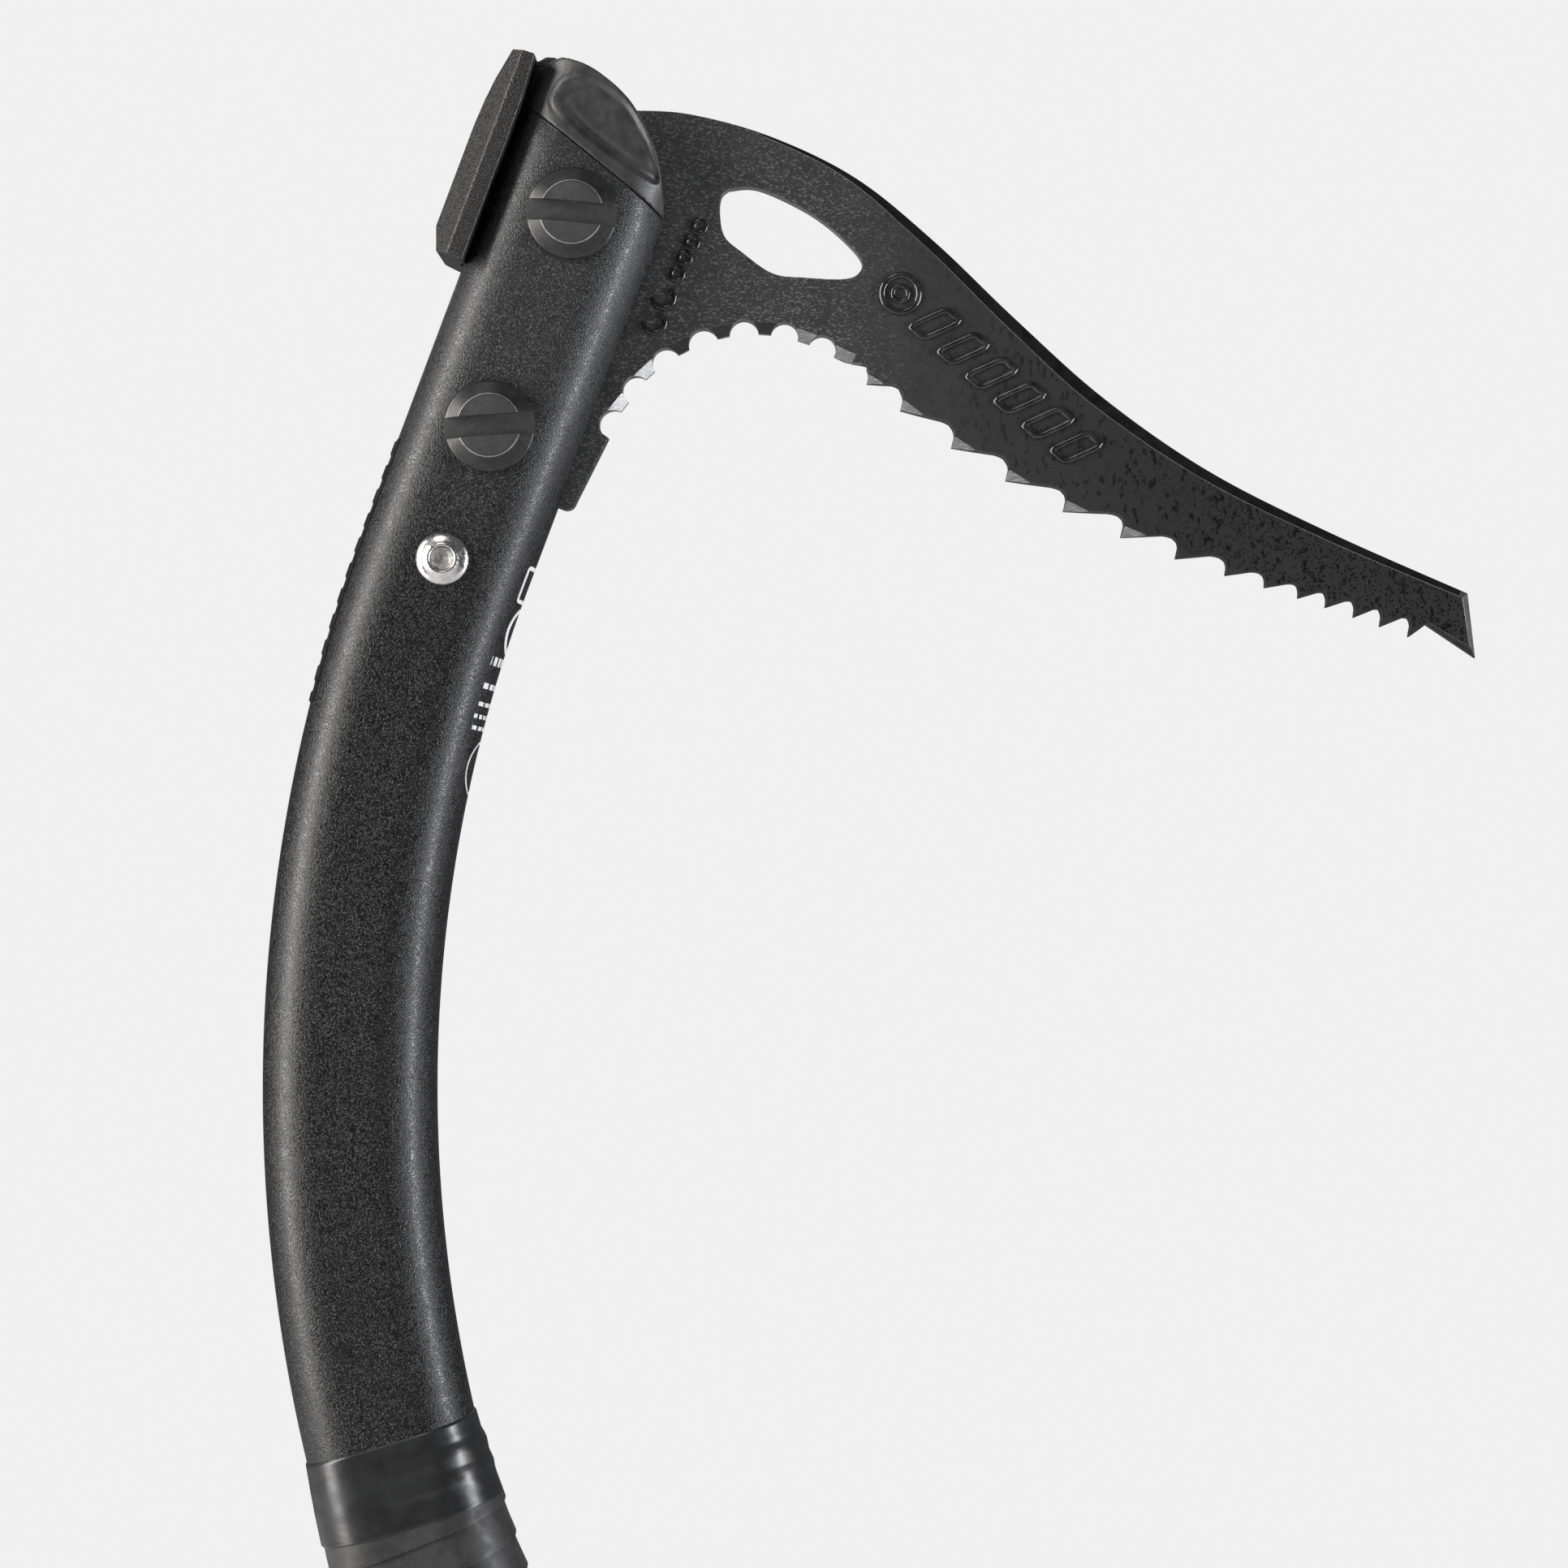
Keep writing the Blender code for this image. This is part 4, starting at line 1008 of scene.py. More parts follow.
TOP_BEVEL = ((22.0, 0.25), (27.0, 0.5), (40.0, 0.8), (55.0, 1.7), (70.0, 2.0), (95.0, 2.3),
             (120.0, 1.9), (150.0, 1.5), (173.4, 1.1))


def blunt_teeth():
    """Outline of the blunt teeth round the arch, and the facets ground on them."""
    centres = [Vector(p) for p in BLUNT_CENTRES]
    lands, cuts = [], []
    for index, centre in enumerate(centres):
        along = centres[min(index + 1, len(centres) - 1)] - centres[max(index - 1, 0)]
        along.normalize()
        lands.append((centre - along * 1.1, centre + along * 1.1))
        inward = Vector((-along.y, along.x)) * 1.9
        reach = 2.3 if index < len(centres) - 1 else 1.6
        cuts.append((centre + inward - along * reach, centre + inward + along * reach,
                     centre, 1.15))
    leg_top = Vector((18.3, 30.7))
    points = [leg_top] + scallop(leg_top, lands[0][0], 2.0, 12)
    for here, following in zip(lands, lands[1:]):
        points += [here[0], here[1]] + scallop(here[1], following[0], 2.6, 14)
    return points + list(lands[-1]), cuts


def saw_teeth():
    """Outline of the hooked saw teeth, and the triangular facets ground on their corners."""
    tips = smooth_curve([(59.5, 55.7), (77.7, 50.3), (100.5, 46.7), (122.3, 45.8),
                         (145.4, 46.9), (166.3, 47.4)], 12)
    roof = smooth_curve([(54.0, 59.7), (64.5, 57.2), (75.5, 54.2), (97.5, 50.3), (120.0, 49.2),
                         (137.5, 48.8), (149.0, 49.5), (168.5, 50.8)], 12)
    points, cuts = [], []
    for index in range(1, len(SAW_TIPS)):
        before, here = SAW_TIPS[index - 1], SAW_TIPS[index]
        pitch = here - before
        start = here - min(0.42 * pitch, 3.6)
        top = here - min(0.22 * pitch, 1.8)
        tip = Vector((here, height_on(tips, here)))
        points += [Vector((x, height_on(roof, x) - sunk)) for x, sunk in
                   ((start, 0.3), ((start + top) / 2, 0.08), (top, 0.0))]
        points += [Vector((here - back, height_on(roof, here) - sunk)) for back, sunk in
                   ((0.9, 0.28), (0.6, 0.6), (0.35, 1.0), (0.2, 1.4))]
        points.append(tip)
        height = height_on(roof, here) - tip.y
        following = SAW_TIPS[index + 1] if index + 1 < len(SAW_TIPS) else here + 4.0
        reach = min(0.42 * (following - here), 4.6)
        end = following - min(0.42 * (following - here), 3.6)
        slope = (height_on(roof, end) - 0.3 - tip.y) / (end - here)
        cuts.append((tip + Vector((-0.12, min(2.5, 0.6 * height))),
                     tip + Vector((reach, reach * slope)), tip, 1.0))
    return points, cuts


def clip_hole():
    return smooth_curve([(24.2, 79.6), (29.0, 81.5), (38.1, 80.9), (45.0, 79.0), (50.6, 76.2),
                         (51.2, 73.6), (48.8, 71.6), (42.4, 69.5), (36.8, 68.2), (30.4, 69.8),
                         (26.4, 71.4), (24.1, 75.2), (23.4, 78.0), (24.2, 79.6)], 8)[:-1]


def pick_bevel(point):
    """Wide bevels on the top edge and on the point's leading edge."""
    on_top = abs(point.y - between(point.x, TOP_EDGE)) < 1.6
    if on_top and TOP_BEVEL[0][0] < point.x < 174.0:
        width = between(point.x, TOP_BEVEL)
        return (width, min(0.75 * width, 1.3)) if width > 0.3 else None
    if (point - Vector(POINT)).length < 0.2:
        return 1.2, 1.3
    return None


def bevel_looks(body):
    """Bare steel on the point's bevel and near the leg, gloss on the long bevel and its likes. The
    facets near the leg are painted nearly white, as painted highlight, and the facets on the arch's
    top and on the teeth toward the point take the black gloss, as painted shade.
    """
    to_head = HEAD.inverted()
    for polygon in body.data.polygons:
        centre = (to_head @ polygon.center) / MM
        slanted = 0.3 < abs(polygon.normal.y) < 0.97
        below = between(centre.x, TOP_EDGE) - centre.z
        on_top = 27.0 < centre.x < 173.0 and -0.6 < below < between(centre.x, TOP_BEVEL) + 0.9
        in_hole = 22.0 < centre.x < 52.5 and 66.0 < centre.z < 83.0
        in_arch = 17.0 < centre.x < 57.0 and 30.0 < centre.z < 62.0
        if centre.x > 171.5 and slanted and centre.z > 50.0:
            polygon.material_index = POINT_STEEL
        elif in_arch and slanted and polygon.material_index == GROUND:
            polygon.material_index = (BARE_AND_HIGHLIT if centre.x < 25.0 else
                                      GLOSSY_AND_SHADED if centre.x < 42.5 else GROUND)
        elif abs(polygon.normal.y) < 0.3 and (in_hole or in_arch):
            polygon.material_index = GROUND
        elif centre.x > BRIGHT_FACETS and slanted and not on_top:
            polygon.material_index = GLOSSY_AND_SHADED
        elif on_top and slanted and polygon.material_index == PAINTED:
            polygon.material_index = GLOSSY_AND_SHADED
        elif not slanted and not on_top:
            polygon.material_index = PAINTED


def make_pick(paint, edge):
    blunt, blunt_cuts = blunt_teeth()
    saw, saw_cuts = saw_teeth()
    leg = [Vector((19.7, 30.3)), Vector((18.3, 17.4))] + arc((16.6, 17.2), 1.7, -10, -90, 8)
    tang = [Vector((TANG_REAR, TANG_FOOT)), Vector((TANG_REAR, 82.0)), Vector((-10.0, 86.4))]
    outline = (tang + smooth_curve(TOP_EDGE, 12) + [Vector(POINT), Vector((168.4, 50.7))]
               + list(reversed(saw)) + list(reversed(blunt)) + leg)
    body = plate("pick_blade", outline, [clip_hole()], HEAD, PLATE_HALF, 0.22, pick_bevel)
    grinder = facets("facet_cuts", blunt_cuts + saw_cuts, PLATE_HALF, HEAD)
    for part in (body, grinder):
        part.data.materials.append(paint)
        part.data.materials.append(edge)
    carve(body, grinder)
    bevel_looks(body)
    # The bare facet look is painted nearly white, a painted highlight for the facets near the leg
    # that face the lamp.
    looks = [paint, edge, bevel_paint(), edge_paint("pick_point_bevel", 0.07, 0.12),
             edge_paint("pick_bare_highlit_facet", 0.6, 0.9)]
    dress(body, looks, ["pick"], 25)


def ridge(path, radius, height, closed=True):
    """Strand of a rounded ridge on the near face of the pick, along (x, z) points."""
    steps = 10
    angles = [2 * math.pi * step / steps for step in range(steps)]
    rings = []
    for here, side in with_sides(path, closed):
        spots = [here + side * radius * math.cos(angle) for angle in angles]
        rings.append([(spot.x, -PLATE_HALF - height * math.sin(angle), spot.y)
                      for spot, angle in zip(spots, angles)])
    return rings, closed


def make_pick_marks(look):
    """Plain raised marks forged in the pick: a ring and slanted lozenges, then small rings."""
    start, end = Vector((59.5, 72.8)), Vector((100.0, 57.6))
    way = (end - start).normalized()
    up = Vector((-way.y, way.x))
    strands = [ridge(arc(start, 3.3, 0, 350, 35), 0.62, 0.55),
               ridge(arc(start, 1.4, 0, 340, 17), 0.46, 0.46)]
    half_width, slant, half_height = 1.7, 1.5, 3.3
    for index in range(6):
        centre = start + (end - start) * (0.19 + 0.155 * index)
        corners = [centre + way * (a * half_width + b * slant) + up * (b * half_height)
                   for a, b in ((-1, -1), (1, -1), (1, 1), (-1, 1))]
        path = []
        for a, b in zip(corners, corners[1:] + corners[:1]):
            path += [a + (b - a) * t for t in (0.12, 0.3, 0.5, 0.7, 0.88)]
        strands.append(ridge(path, 0.62, 0.55))
    strands += [ridge(arc((20.9 + 0.25 * index, 62.0 + 3.1 * index), 1.1, 0, 336, 14), 0.48, 0.42)
                for index in range(4)]
    strands += [ridge(arc((20.1, 52.6 + 4.7 * index), 1.9, 200, 430, 18), 0.52, 0.46, False)
                for index in range(2)]
    marks = ropes("pick_marks", strands, HEAD)
    dress(marks, look, [], 60)


# ---- hammer and cap

def make_hammer(look):
    side = [(PLATE_LIP, PLATE_BOTTOM), (-20.0, PLATE_BOTTOM), (PLATE_OUTER, 54.5),
            (PLATE_OUTER, 73.5), (-21.6, 78.5), (-21.1, 82.5), (-19.8, PLATE_TOP),
            (-15.5, PLATE_TOP + 0.2), (-14.9, 80.0), (PLATE_LIP, 72.0)]
    hammer = prism("hammer_plate", side, HEAD, -PLATE_HALF_WIDTH, PLATE_HALF_WIDTH)
    section = [(PLATE_OUTER - 0.6, -5.6), (PLATE_RIM, -PLATE_HALF_WIDTH),
               (-10.0, -PLATE_HALF_WIDTH), (-10.0, PLATE_HALF_WIDTH),
               (PLATE_RIM, PLATE_HALF_WIDTH), (PLATE_OUTER - 0.6, 5.6)]
    carve(hammer, upright("plate_section", section, HEAD, 40.0, 100.0), operation="INTERSECT")
    carve(hammer, upright("plate_hollow", oval(SHAFT_HALF_WIDTH + 0.5, 9.5, 9.0, 12), HEAD,
                          40.0, 100.0))
    reach = PLATE_HALF + GAP + CHEEK
    arms = ([(-17.5, 57.5), (-6.0, FORK_FOOT + 0.6)] + arc(BOLT_PLACES["upper"], 7.6, -110, 20, 12)
            + [(2.4, 85.8), (-10.2, 86.4), (-10.5, 89.3), (-11.4, 90.1), (-12.8, 90.2),
               (-14.3, 89.8), (-15.3, 88.6), (-15.7, 87.0), (-15.7, 82.0), (-17.5, 80.5)])
    carve(hammer, prism("hammer_arms", arms, HEAD, -reach, reach), operation="UNION")
    inner = PLATE_HALF + GAP
    carve(hammer, block("between_arms", (40.0, 2 * inner, 60.0),
                        (TANG_REAR - GAP + 20.0, 0.0, 72.0), HEAD))
    soften(hammer, 0.2, 7)
    dress(hammer, look, ["hammer"], None)


RECESS = ((-10.1, 82.4), (-8.6, 80.7), (-4.0, 78.4), (1.2, 76.7), (6.3, 75.3), (10.5, 74.6),
          (12.7, 75.3), (12.4, 77.0), (9.8, 80.4), (6.8, 83.4), (3.0, 86.3), (-1.3, 87.7),
          (-4.5, 88.1), (-7.2, 87.3), (-9.4, 85.7), (-10.1, 82.4))


def inside(loop, x, z):
    result = False
    for a, b in zip(loop, loop[1:]):
        if (a.y > z) != (b.y > z) and x < a.x + (b.x - a.x) * (z - a.y) / (b.y - a.y):
            result = not result
    return result


def distance_to(loop, x, z):
    point = Vector((x, z))
    best = 1e9
    for a, b in zip(loop, loop[1:]):
        way = b - a
        share = min(max((point - a).dot(way) / way.length_squared, 0.0), 1.0)
        best = min(best, (a + way * share - point).length)
    return best


def press_recess(cap):
    """Teardrop thumb recess on both cheeks, deepest in a groove along its lower edge."""
    loop = smooth_curve(RECESS, 5)
    low = smooth_curve(RECESS[:6], 6)
    to_head = HEAD.inverted() @ cap.matrix_world
    flank, cheek, foot = 5.5, 9.0, 72.0
    for vertex in cap.data.vertices:
        local = (to_head @ vertex.co) / MM
        if abs(local.y) < flank or local.z < foot:
            continue
        edge = distance_to(loop, local.x, local.z)
        within = inside(loop, local.x, local.z)
        signed = edge if within else -edge
        depth = 0.95 * smoothstep(signed, -0.25, 1.1 + 1.5 * smoothstep(-local.x, 3.0, 8.0))
        groove = distance_to(low, local.x, local.z)
        if within:
            fade = smoothstep(local.x, -9.0, -3.0)
            depth += 0.50 * fade * math.exp(-((groove - 1.5) / 0.75) ** 2)
        else:
            depth -= 0.16 * math.exp(-((edge - 0.45) / 0.4) ** 2)
        depth *= smoothstep(abs(local.y), flank, cheek)
        vertex.co.y -= math.copysign(depth * MM, local.y)


def make_cap(look):
    crown = smooth_curve([(15.4, 69.8), (14.7, 72.0), (12.3, 77.0), (9.1, 81.5), (3.0, 86.8),
                          (-4.0, 89.6), (-9.4, 90.1), (-11.9, 89.5), (-13.7, 87.4), (-14.6, 84.0),
                          (-14.5, 80.0)], 8)
    outline = [Vector((-SHAFT_HALF_WIDTH, 60.0)), Vector((SHAFT_HALF_WIDTH, 60.0))] + crown
    cap = prism("rubber_cap", outline, HEAD, -SHAFT_HALF_DEPTH, SHAFT_HALF_DEPTH)
    skin = oval(SHAFT_HALF_WIDTH + 0.05, SHAFT_HALF_DEPTH + 0.05, SHAFT_CORNER, 14)
    carve(cap, upright("cap_skin", skin, HEAD, 50.0, 100.0), operation="INTERSECT")
    slope = math.atan(RIM_SLOPE)
    normal = Vector((-math.sin(slope), 0.0, math.cos(slope)))
    under = Vector((0.0, 0.0, RIM_HEIGHT)) - normal * (20.0 - 0.08)
    carve(cap, block("cap_under", (60.0, 40.0, 40.0), under, HEAD, Matrix.Rotation(-slope, 4, "Y")))
    inner = 2 * (PLATE_HALF + 0.1)
    outer = 2 * (PLATE_HALF + GAP + CHEEK + 0.1)
    carve(cap, block("pick_slot", (60.0, inner, 60.0), (0.0, 0.0, 56.4), HEAD))
    carve(cap, block("fork_slot", (32.0, outer, 60.0), (-7.6, 0.0, 56.4), HEAD))
    carve(cap, block("horn_slot", (20.0, outer + 0.06, 60.0), (-19.9, 0.0, 70.0), HEAD))
    carve(cap, block("front_slot", (20.0, inner + 0.06, 60.0), (12.0, 0.0, 70.0), HEAD))
    soften(cap, 0.27, 4)
    press_recess(cap)
    relax(cap, 2)
    dress(cap, look, ["head_cap"], None)


# ---- fasteners

# A bolt's looks, in the order of its material slots: lit and shaded copies of one oxide, the cone
# painted darker as painted shade, the flats lighter as painted light, and the disc's edge bright as
# a painted highlight and edge wear
CONE, LIT_FLATS, WORN_AND_HIGHLIT = range(3)


def crosswise(frame_matrix, place, facing=FACING_NEAR):
    """Axes of a fastener at an (x, z) place: its Z leaves the near or the far side."""
    return frame_matrix @ Matrix.Translation(Vector((place[0], 0.0, place[1])) * MM) @ facing


def make_bolt(name, node, body, sizes, frame_matrix, place, turn, looks, far=False):
    """Slotted head: a flat disc inside a wide cone, with a full-width slot."""
    spin = Matrix.Rotation(-turn if far else turn, 4, "Z")
    matrix = crosswise(frame_matrix, place, FACING_FAR if far else FACING_NEAR) @ spin
    seat = sizes["seat"] + 0.05
    rim = seat + sizes["rim"] + GAP
    face = sizes["seat"] + GAP + sizes["height"]
    head, disc = sizes["head"], sizes["face"]
    foot = sizes["reach"] + 2 * GAP if far else -sizes["reach"]
    profile = [(disc - 0.18, face), (disc - 0.06, face - 0.03), (disc, face - 0.12),
               (disc + 0.05, face - 0.22), (disc + 0.16, face - 0.27),
               (head - 0.42, rim + 0.22), (head - 0.22, rim + 0.12), (head - 0.06, rim - 0.04),
               (head, rim - 0.22), (head, seat + 0.1), (head - 0.1, seat),
               (sizes["shank"], seat), (sizes["shank"], foot)]
    bolt = turned(name, profile, matrix)
    depth = sizes["seat"] + GAP + sizes["rim"]
    carve(bolt, block("slot", (3 * head, sizes["slot"], 10.0), (0.0, 0.0, depth + 5.0), matrix))
    bevel = bolt.modifiers.new("edges", "BEVEL")
    bevel.width = 0.09 * MM
    bevel.segments = 2
    bevel.limit_method = "ANGLE"
    bevel.angle_limit = math.radians(50)
    bevel.use_clamp_overlap = True
    bake(bolt)
    dress(bolt, looks, [node], 28, body)
    for polygon in bolt.data.polygons:
        polygon.material_index = CONE
        if polygon.normal.z > 0.99 and polygon.center.z > depth * 0.99 * MM:
            polygon.material_index = LIT_FLATS
        elif polygon.area < 0.25 * MM * MM and 0.3 < polygon.normal.z < 0.93:
            near_disc = math.hypot(polygon.center.x, polygon.center.y) < (disc + 0.2) * MM
            polygon.material_index = WORN_AND_HIGHLIT if near_disc else CONE


def make_rivet(look):
    seat = SHAFT_HALF_DEPTH
    top = seat + GAP
    profile = [(2.1, 6.0), (3.1, 6.0), (3.1, seat), (4.55, seat), (4.68, seat + 0.10),
               (4.70, seat + 0.25), (4.62, seat + 0.42), (4.3, top + 0.48), (3.7, top + 0.72),
               (3.0, top + 0.98), (2.75, top + 1.16), (2.58, top + 1.25), (2.42, top + 1.26),
               (2.28, top + 1.20), (2.16, top + 1.05), (2.10, top + 0.85)]
    rivet = turned_ring("bright_rivet", profile, crosswise(HEAD, RIVET_PLACE))
    dress(rivet, look, ["head_rivet"], 40)


def make_mandrel(look):
    """The broken end of the mandrel: a shallow dish inside the rivet's rim."""
    seat = SHAFT_HALF_DEPTH
    profile = [(0.35, seat + 0.22), (1.1, seat + 0.34), (1.75, seat + 0.62), (1.95, seat + 0.66),
               (2.05, seat + 0.55), (2.05, seat - 0.6), (1.75, seat - 1.0), (1.75, seat - 5.0)]
    stub = turned("mandrel_stub", profile, crosswise(HEAD, RIVET_PLACE), 64)
    dress(stub, look, ["rivet_mandrel"], 40)


def make_pins(look):
    radius, reach = 2.5, SHAFT_HALF_DEPTH - 0.1
    profile = [(radius - 0.4, reach), (radius - 0.1, reach - 0.12), (radius, reach - 0.4),
               (radius, -reach + 0.4), (radius - 0.1, -reach + 0.12), (radius - 0.4, -reach)]
    for level, height in PIN_HEIGHTS.items():
        pin = turned("cross_pin_" + level, profile, crosswise(HANDLE, (0.0, height)), 48)
        dress(pin, look, ["spike_pin_" + level], 30)


# ---- foot

def spike_bevel(point):
    """Wide bevels along the spike's point."""
    return (1.5, 1.3) if point.y < -98.0 else None


def make_spike(paint, edge):
    neck = 10.0
    shoulder = SHAFT_FOOT - GAP - 0.2
    left = smooth_curve([(-14.2, -88.0), (-12.6, -99.0), (-8.4, -112.0), (-2.0, SPIKE_TIP)], 8)
    right = smooth_curve([(-2.0, SPIKE_TIP), (3.2, -116.0), (8.0, -106.0), (12.8, -97.0),
                          (14.2, -88.0)], 8)
    outline = ([(-neck, -28.0), (-neck, shoulder), (-14.2, shoulder)] + left + right[1:]
               + [(14.2, shoulder), (neck, shoulder), (neck, -28.0)])
    hole = arc((0.0, CLIP_HOLE_HEIGHT), CLIP_HOLE_RADIUS, 0, 352.5, 47)
    spike = plate("spike_blade", outline, [hole], HANDLE, PLATE_HALF, 0.28, spike_bevel)
    dress(spike, [paint, edge], ["spike"], 25)


def rib_rest(rest):
    """Shallow grooves round the hand rest's collar, faded out round its screw."""
    to_handle = HANDLE.inverted() @ rest.matrix_world
    collar_front, screw_flank = 17.0, 8.0
    pitch, depth = 4.0, 0.45
    for vertex in rest.data.vertices:
        spot = (to_handle @ vertex.co) / MM
        out = Vector((spot.x / REST_HALF_WIDTH, spot.y / REST_HALF_DEPTH, 0.0))
        if spot.x >= collar_front or out.length < 0.9:
            continue
        band = smoothstep(spot.z, REST_BOTTOM + 5.0, REST_BOTTOM + 8.0)
        band *= 1 - smoothstep(spot.z, REST_TOP - 8.0, REST_TOP - 5.0)
        clear = 1.0
        if abs(spot.y) >= screw_flank:
            clear = smoothstep(math.hypot(spot.x, spot.z - REST_SCREW_HEIGHT), 6.5, 8.5)
        wave = 0.5 - 0.5 * math.cos(2 * math.pi * (spot.z - REST_BOTTOM) / pitch)
        vertex.co -= (HANDLE.to_3x3() @ out.normalized()) * (depth * wave * band * clear * MM)


def make_rest(look):
    horn = smooth_curve([(REST_HALF_WIDTH - 1.5, REST_TOP - 3.5), (23.0, -53.5), (30.0, -54.2),
                         (36.0, -50.6), (39.6, -48.4), (40.6, -52.0), (37.0, -61.0),
                         (29.0, -70.5), (REST_HALF_WIDTH, REST_BOTTOM + 1.5)], 8)
    collar = [Vector(p) for p in ((16.0, REST_BOTTOM), (-16.0, REST_BOTTOM),
                                  (-REST_HALF_WIDTH, REST_BOTTOM + 3.0),
                                  (-REST_HALF_WIDTH, REST_TOP - 3.0), (-17.0, REST_TOP),
                                  (16.2, REST_TOP))]
    rest = prism("finger_rest", horn + collar, HANDLE, -REST_HALF_DEPTH, REST_HALF_DEPTH)
    length = 60.0
    plan = [Vector((p.x + length - REST_HALF_WIDTH, p.y))
            for p in oval(length, REST_HALF_DEPTH, 12.0, 14)]
    carve(rest, upright("rest_plan", plan, HANDLE, -90.0, -30.0), operation="INTERSECT")
    for side in (-1, 1):
        carve(rest, block("horn_side", (40.0, 10.0, 60.0), (44.0, side * 15.0, -60.0), HANDLE,
                          Matrix.Rotation(side * math.radians(8), 4, "Z")))
    bore = oval(SHAFT_HALF_WIDTH + 0.1, SHAFT_HALF_DEPTH + 0.1, SHAFT_CORNER, 14)
    carve(rest, upright("rest_bore", bore, HANDLE, -90.0, -30.0))
    soften(rest, 0.55, 5)
    rib_rest(rest)
    dress(rest, look, ["hand_rest"], None)


# ---- camera, light and floor

def area_light(name, place, size, power, colour):
    """Soft box that looks at the middle of the tool."""
    lamp = bpy.data.lights.new(name, "AREA")
    lamp.shape = "RECTANGLE"
    lamp.size, lamp.size_y = size
    lamp.energy = power
    lamp.color = colour
    obj = bpy.data.objects.new(name, lamp)
    bpy.context.scene.collection.objects.link(obj)
    obj.location = place
    obj.rotation_mode = "QUATERNION"
    obj.rotation_quaternion = (TOOL_MIDDLE - obj.location).to_track_quat("-Z", "Y")


def around_tool(azimuth, elevation, distance):
    """Place round the tool. Azimuth 0 is the camera's side, positive to its right."""
    a, e = math.radians(azimuth), math.radians(elevation)
    away = Vector((math.sin(a) * math.cos(e), -math.cos(a) * math.cos(e), math.sin(e)))
    return TOOL_MIDDLE + away * distance


def make_world():
    """Even pale backdrop for the camera, and a dimmer room for reflections."""
    world = bpy.data.worlds.new("studio")
    bpy.context.scene.world = world
    world.use_nodes = True
    nodes, links = world.node_tree.nodes, world.node_tree.links
    seen = nodes["Background"]
    seen.inputs["Color"].default_value = (0.871, 0.871, 0.871, 1.0)
    room = nodes.new("ShaderNodeBackground")
    room.inputs["Color"].default_value = (0.085, 0.085, 0.089, 1.0)
    path = nodes.new("ShaderNodeLightPath")
    mix = nodes.new("ShaderNodeMixShader")
    links.new(path.outputs["Is Camera Ray"], mix.inputs["Fac"])
    links.new(room.outputs["Background"], mix.inputs[1])
    links.new(seen.outputs["Background"], mix.inputs[2])
    links.new(mix.outputs["Shader"], nodes["World Output"].inputs["Surface"])


def make_lights():
    area_light("key_left", around_tool(-68, 8, 1.3), (0.44, 1.5), 33.0, (1.0, 0.975, 0.955))
    area_light("rim_right", around_tool(72, -12, 1.3), (0.15, 1.3), 26.0, (0.96, 0.97, 1.0))
    area_light("fill_front", around_tool(-16, 46, 1.6), (0.5, 0.5), 3.2, (1.0, 1.0, 1.0))
    area_light("back_soft", around_tool(180, 35, 1.6), (1.2, 1.0), 14.0, (1.0, 1.0, 1.0))


def make_floor(look):
    shape = bmesh.new()
    bmesh.ops.create_circle(shape, cap_ends=True, radius=900.0, segments=96)
    drop = Matrix.Translation((0.0, 0.0, CAD_BOX[0].z - PAPER_DROP * MM))
    floor = new_object("floor", shape, drop)
    floor.data.materials.append(look)


def make_camera():
    data = bpy.data.cameras.new("camera")
    data.sensor_width = SENSOR
    data.lens = SENSOR * VIEW_DISTANCE / VIEW_SPAN
    data.clip_start = 0.05
    data.clip_end = 20.0
    camera = bpy.data.objects.new("camera", data)
    bpy.context.scene.collection.objects.link(camera)
    camera.location = VIEW_CENTRE - Vector((0.0, VIEW_DISTANCE, 0.0))
    camera.rotation_euler = (math.pi / 2, 0.0, 0.0)
    bpy.context.scene.camera = camera


# ---- assembly

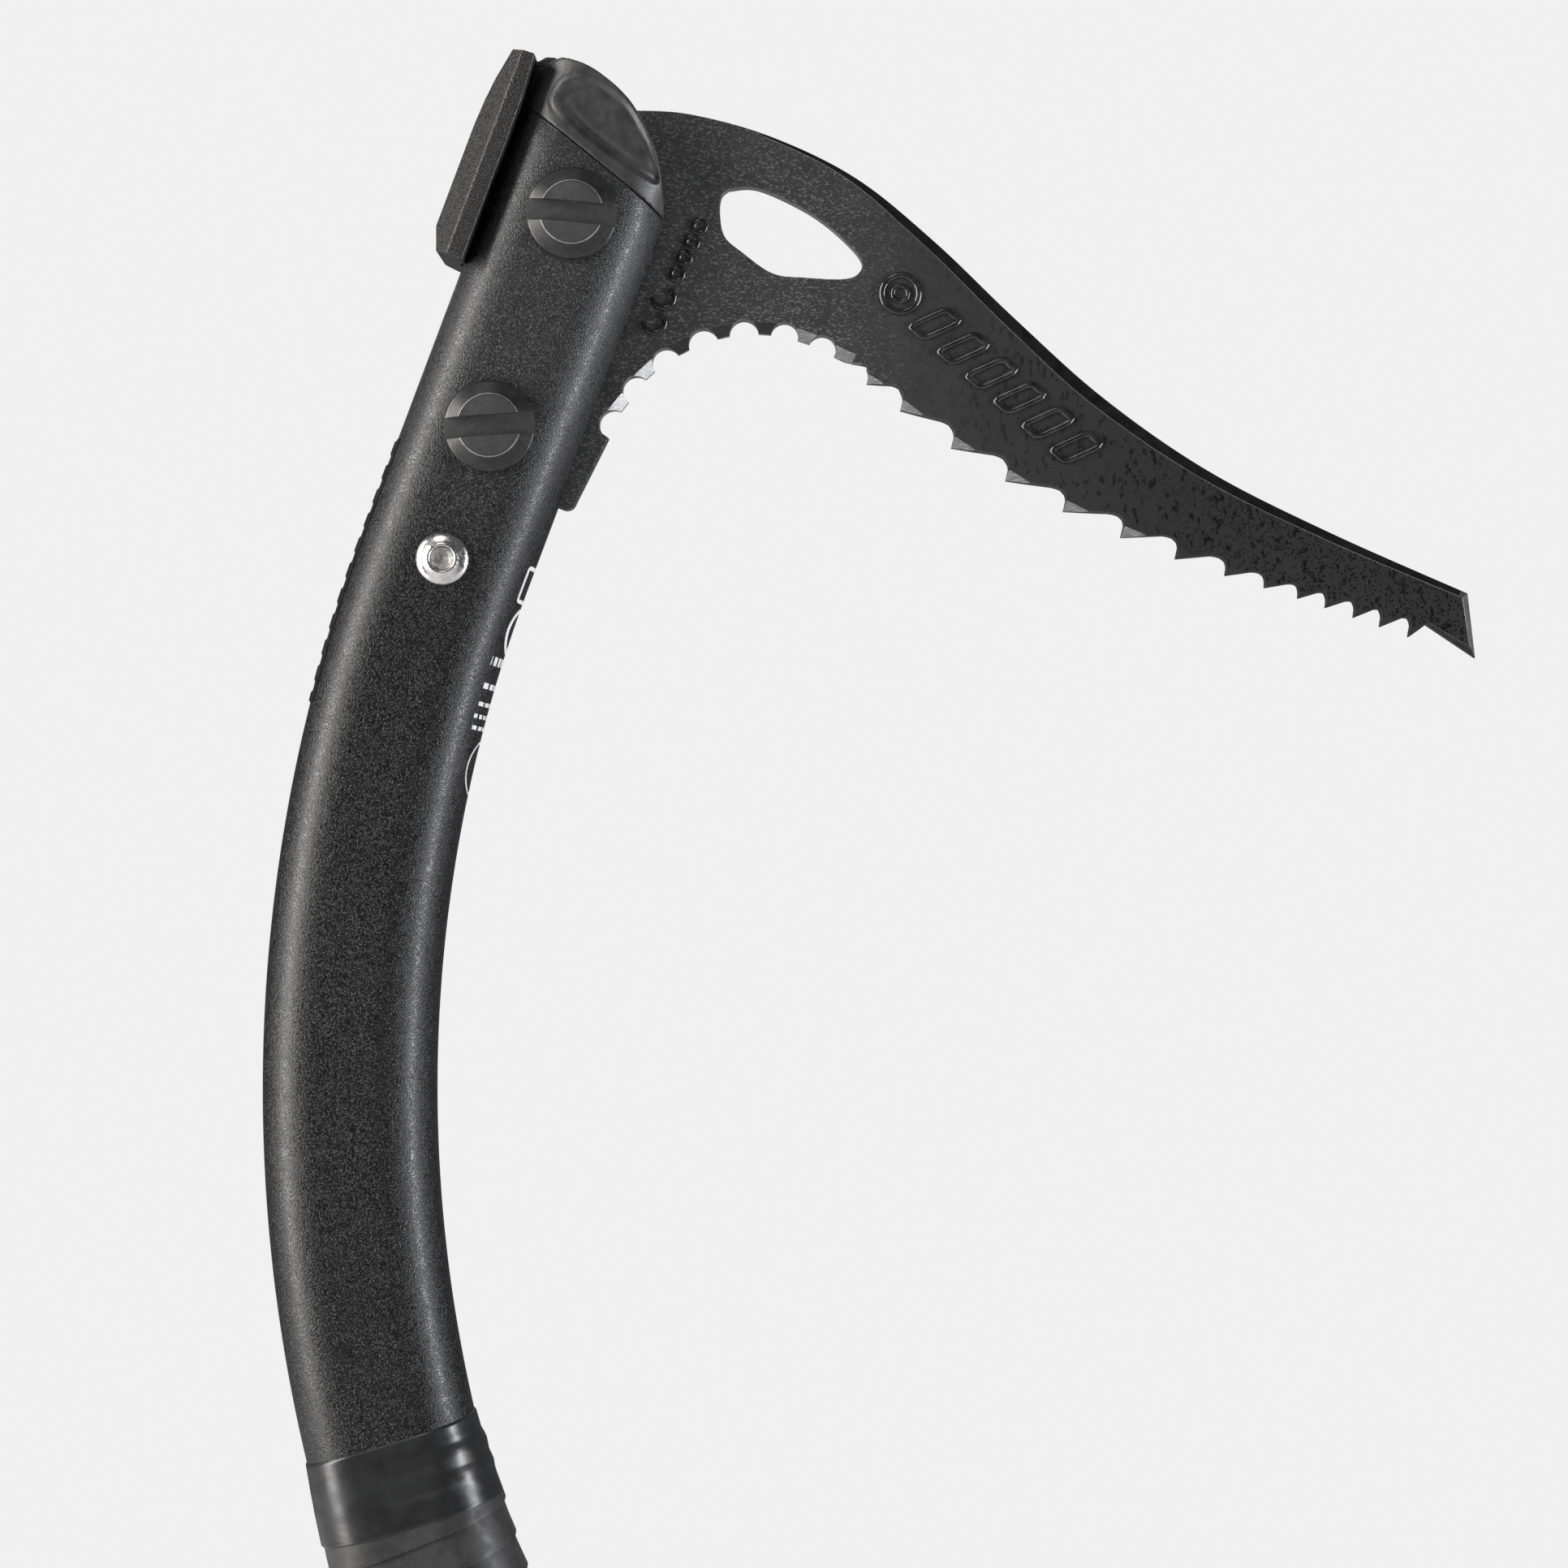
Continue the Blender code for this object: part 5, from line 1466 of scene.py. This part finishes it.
def keep_node(name, look):
    """Give a carried CAD node a procedural material."""
    for entry in bpy.data.objects[name].material_slots:
        entry.material = look


bpy.context.scene.view_settings.view_transform = "Standard"
make_camera()
make_world()
make_lights()
make_floor(floor_paper())

PAINT, EDGE, ZINC = pick_paint(), edge_paint(), zinc()
# Lit and shaded copies of one black oxide: darker for the cone as painted shade, lighter for the
# flat disc and slot floor as painted light, and bright for the disc's edge as painted highlight and
# wear.
OXIDE = [bolt_black("bolt_black_oxide", 0.022, 0.036), bolt_black("bolt_lit_flat_oxide", 0.062, 0.080),
         bolt_black("bolt_worn_highlit_edge", 0.20, 0.34)]
CAP, LINER = cap_rubber(), liner_plastic()

make_shaft(shaft_paint())
make_spine(strip_rubber())
make_band(gloss_tape())
make_grip(grip_rubber())
make_print(white_print())
make_pick(PAINT, EDGE)
make_pick_marks(mark_paint())
make_hammer(hammer_paint())
make_cap(CAP)
make_rivet(ZINC)
make_pins(ZINC)
make_spike(PAINT, EDGE)
make_rest(rest_plastic())

# Sizes of a bolt in mm. Seat, rim and height are heights, reach and slot are its depth and the
# slot's width, and the others are radii.
HEAD_BOLT = {"seat": SHAFT_HALF_DEPTH, "rim": 0.7, "height": 2.3, "face": 5.5, "head": 8.1,
             "shank": 3.0, "reach": 6.0, "slot": 3.8}
REST_BOLT = {"seat": REST_HALF_DEPTH, "rim": 0.8, "height": 1.8, "face": 3.6, "head": 5.0,
             "shank": 2.5, "reach": 8.0, "slot": 1.6}
for bolt, nut, *where in (
        ("upper_bolt", "upper_nut", HEAD_BOLT, HEAD, BOLT_PLACES["upper"], SLOT_TURNS["upper"]),
        ("lower_bolt", "lower_nut", HEAD_BOLT, HEAD, BOLT_PLACES["lower"], SLOT_TURNS["lower"]),
        ("rest_screw", "rest_nut", REST_BOLT, HANDLE, (0.0, REST_SCREW_HEIGHT), REST_TURN)):
    make_bolt(bolt + "_head", bolt, bolt + "_body", *where, OXIDE)
    make_bolt(nut + "_head", nut, BODY, *where, OXIDE, far=True)

keep_node("head_insert", LINER)
keep_node("end_plug", LINER)
make_mandrel(mandrel_steel())
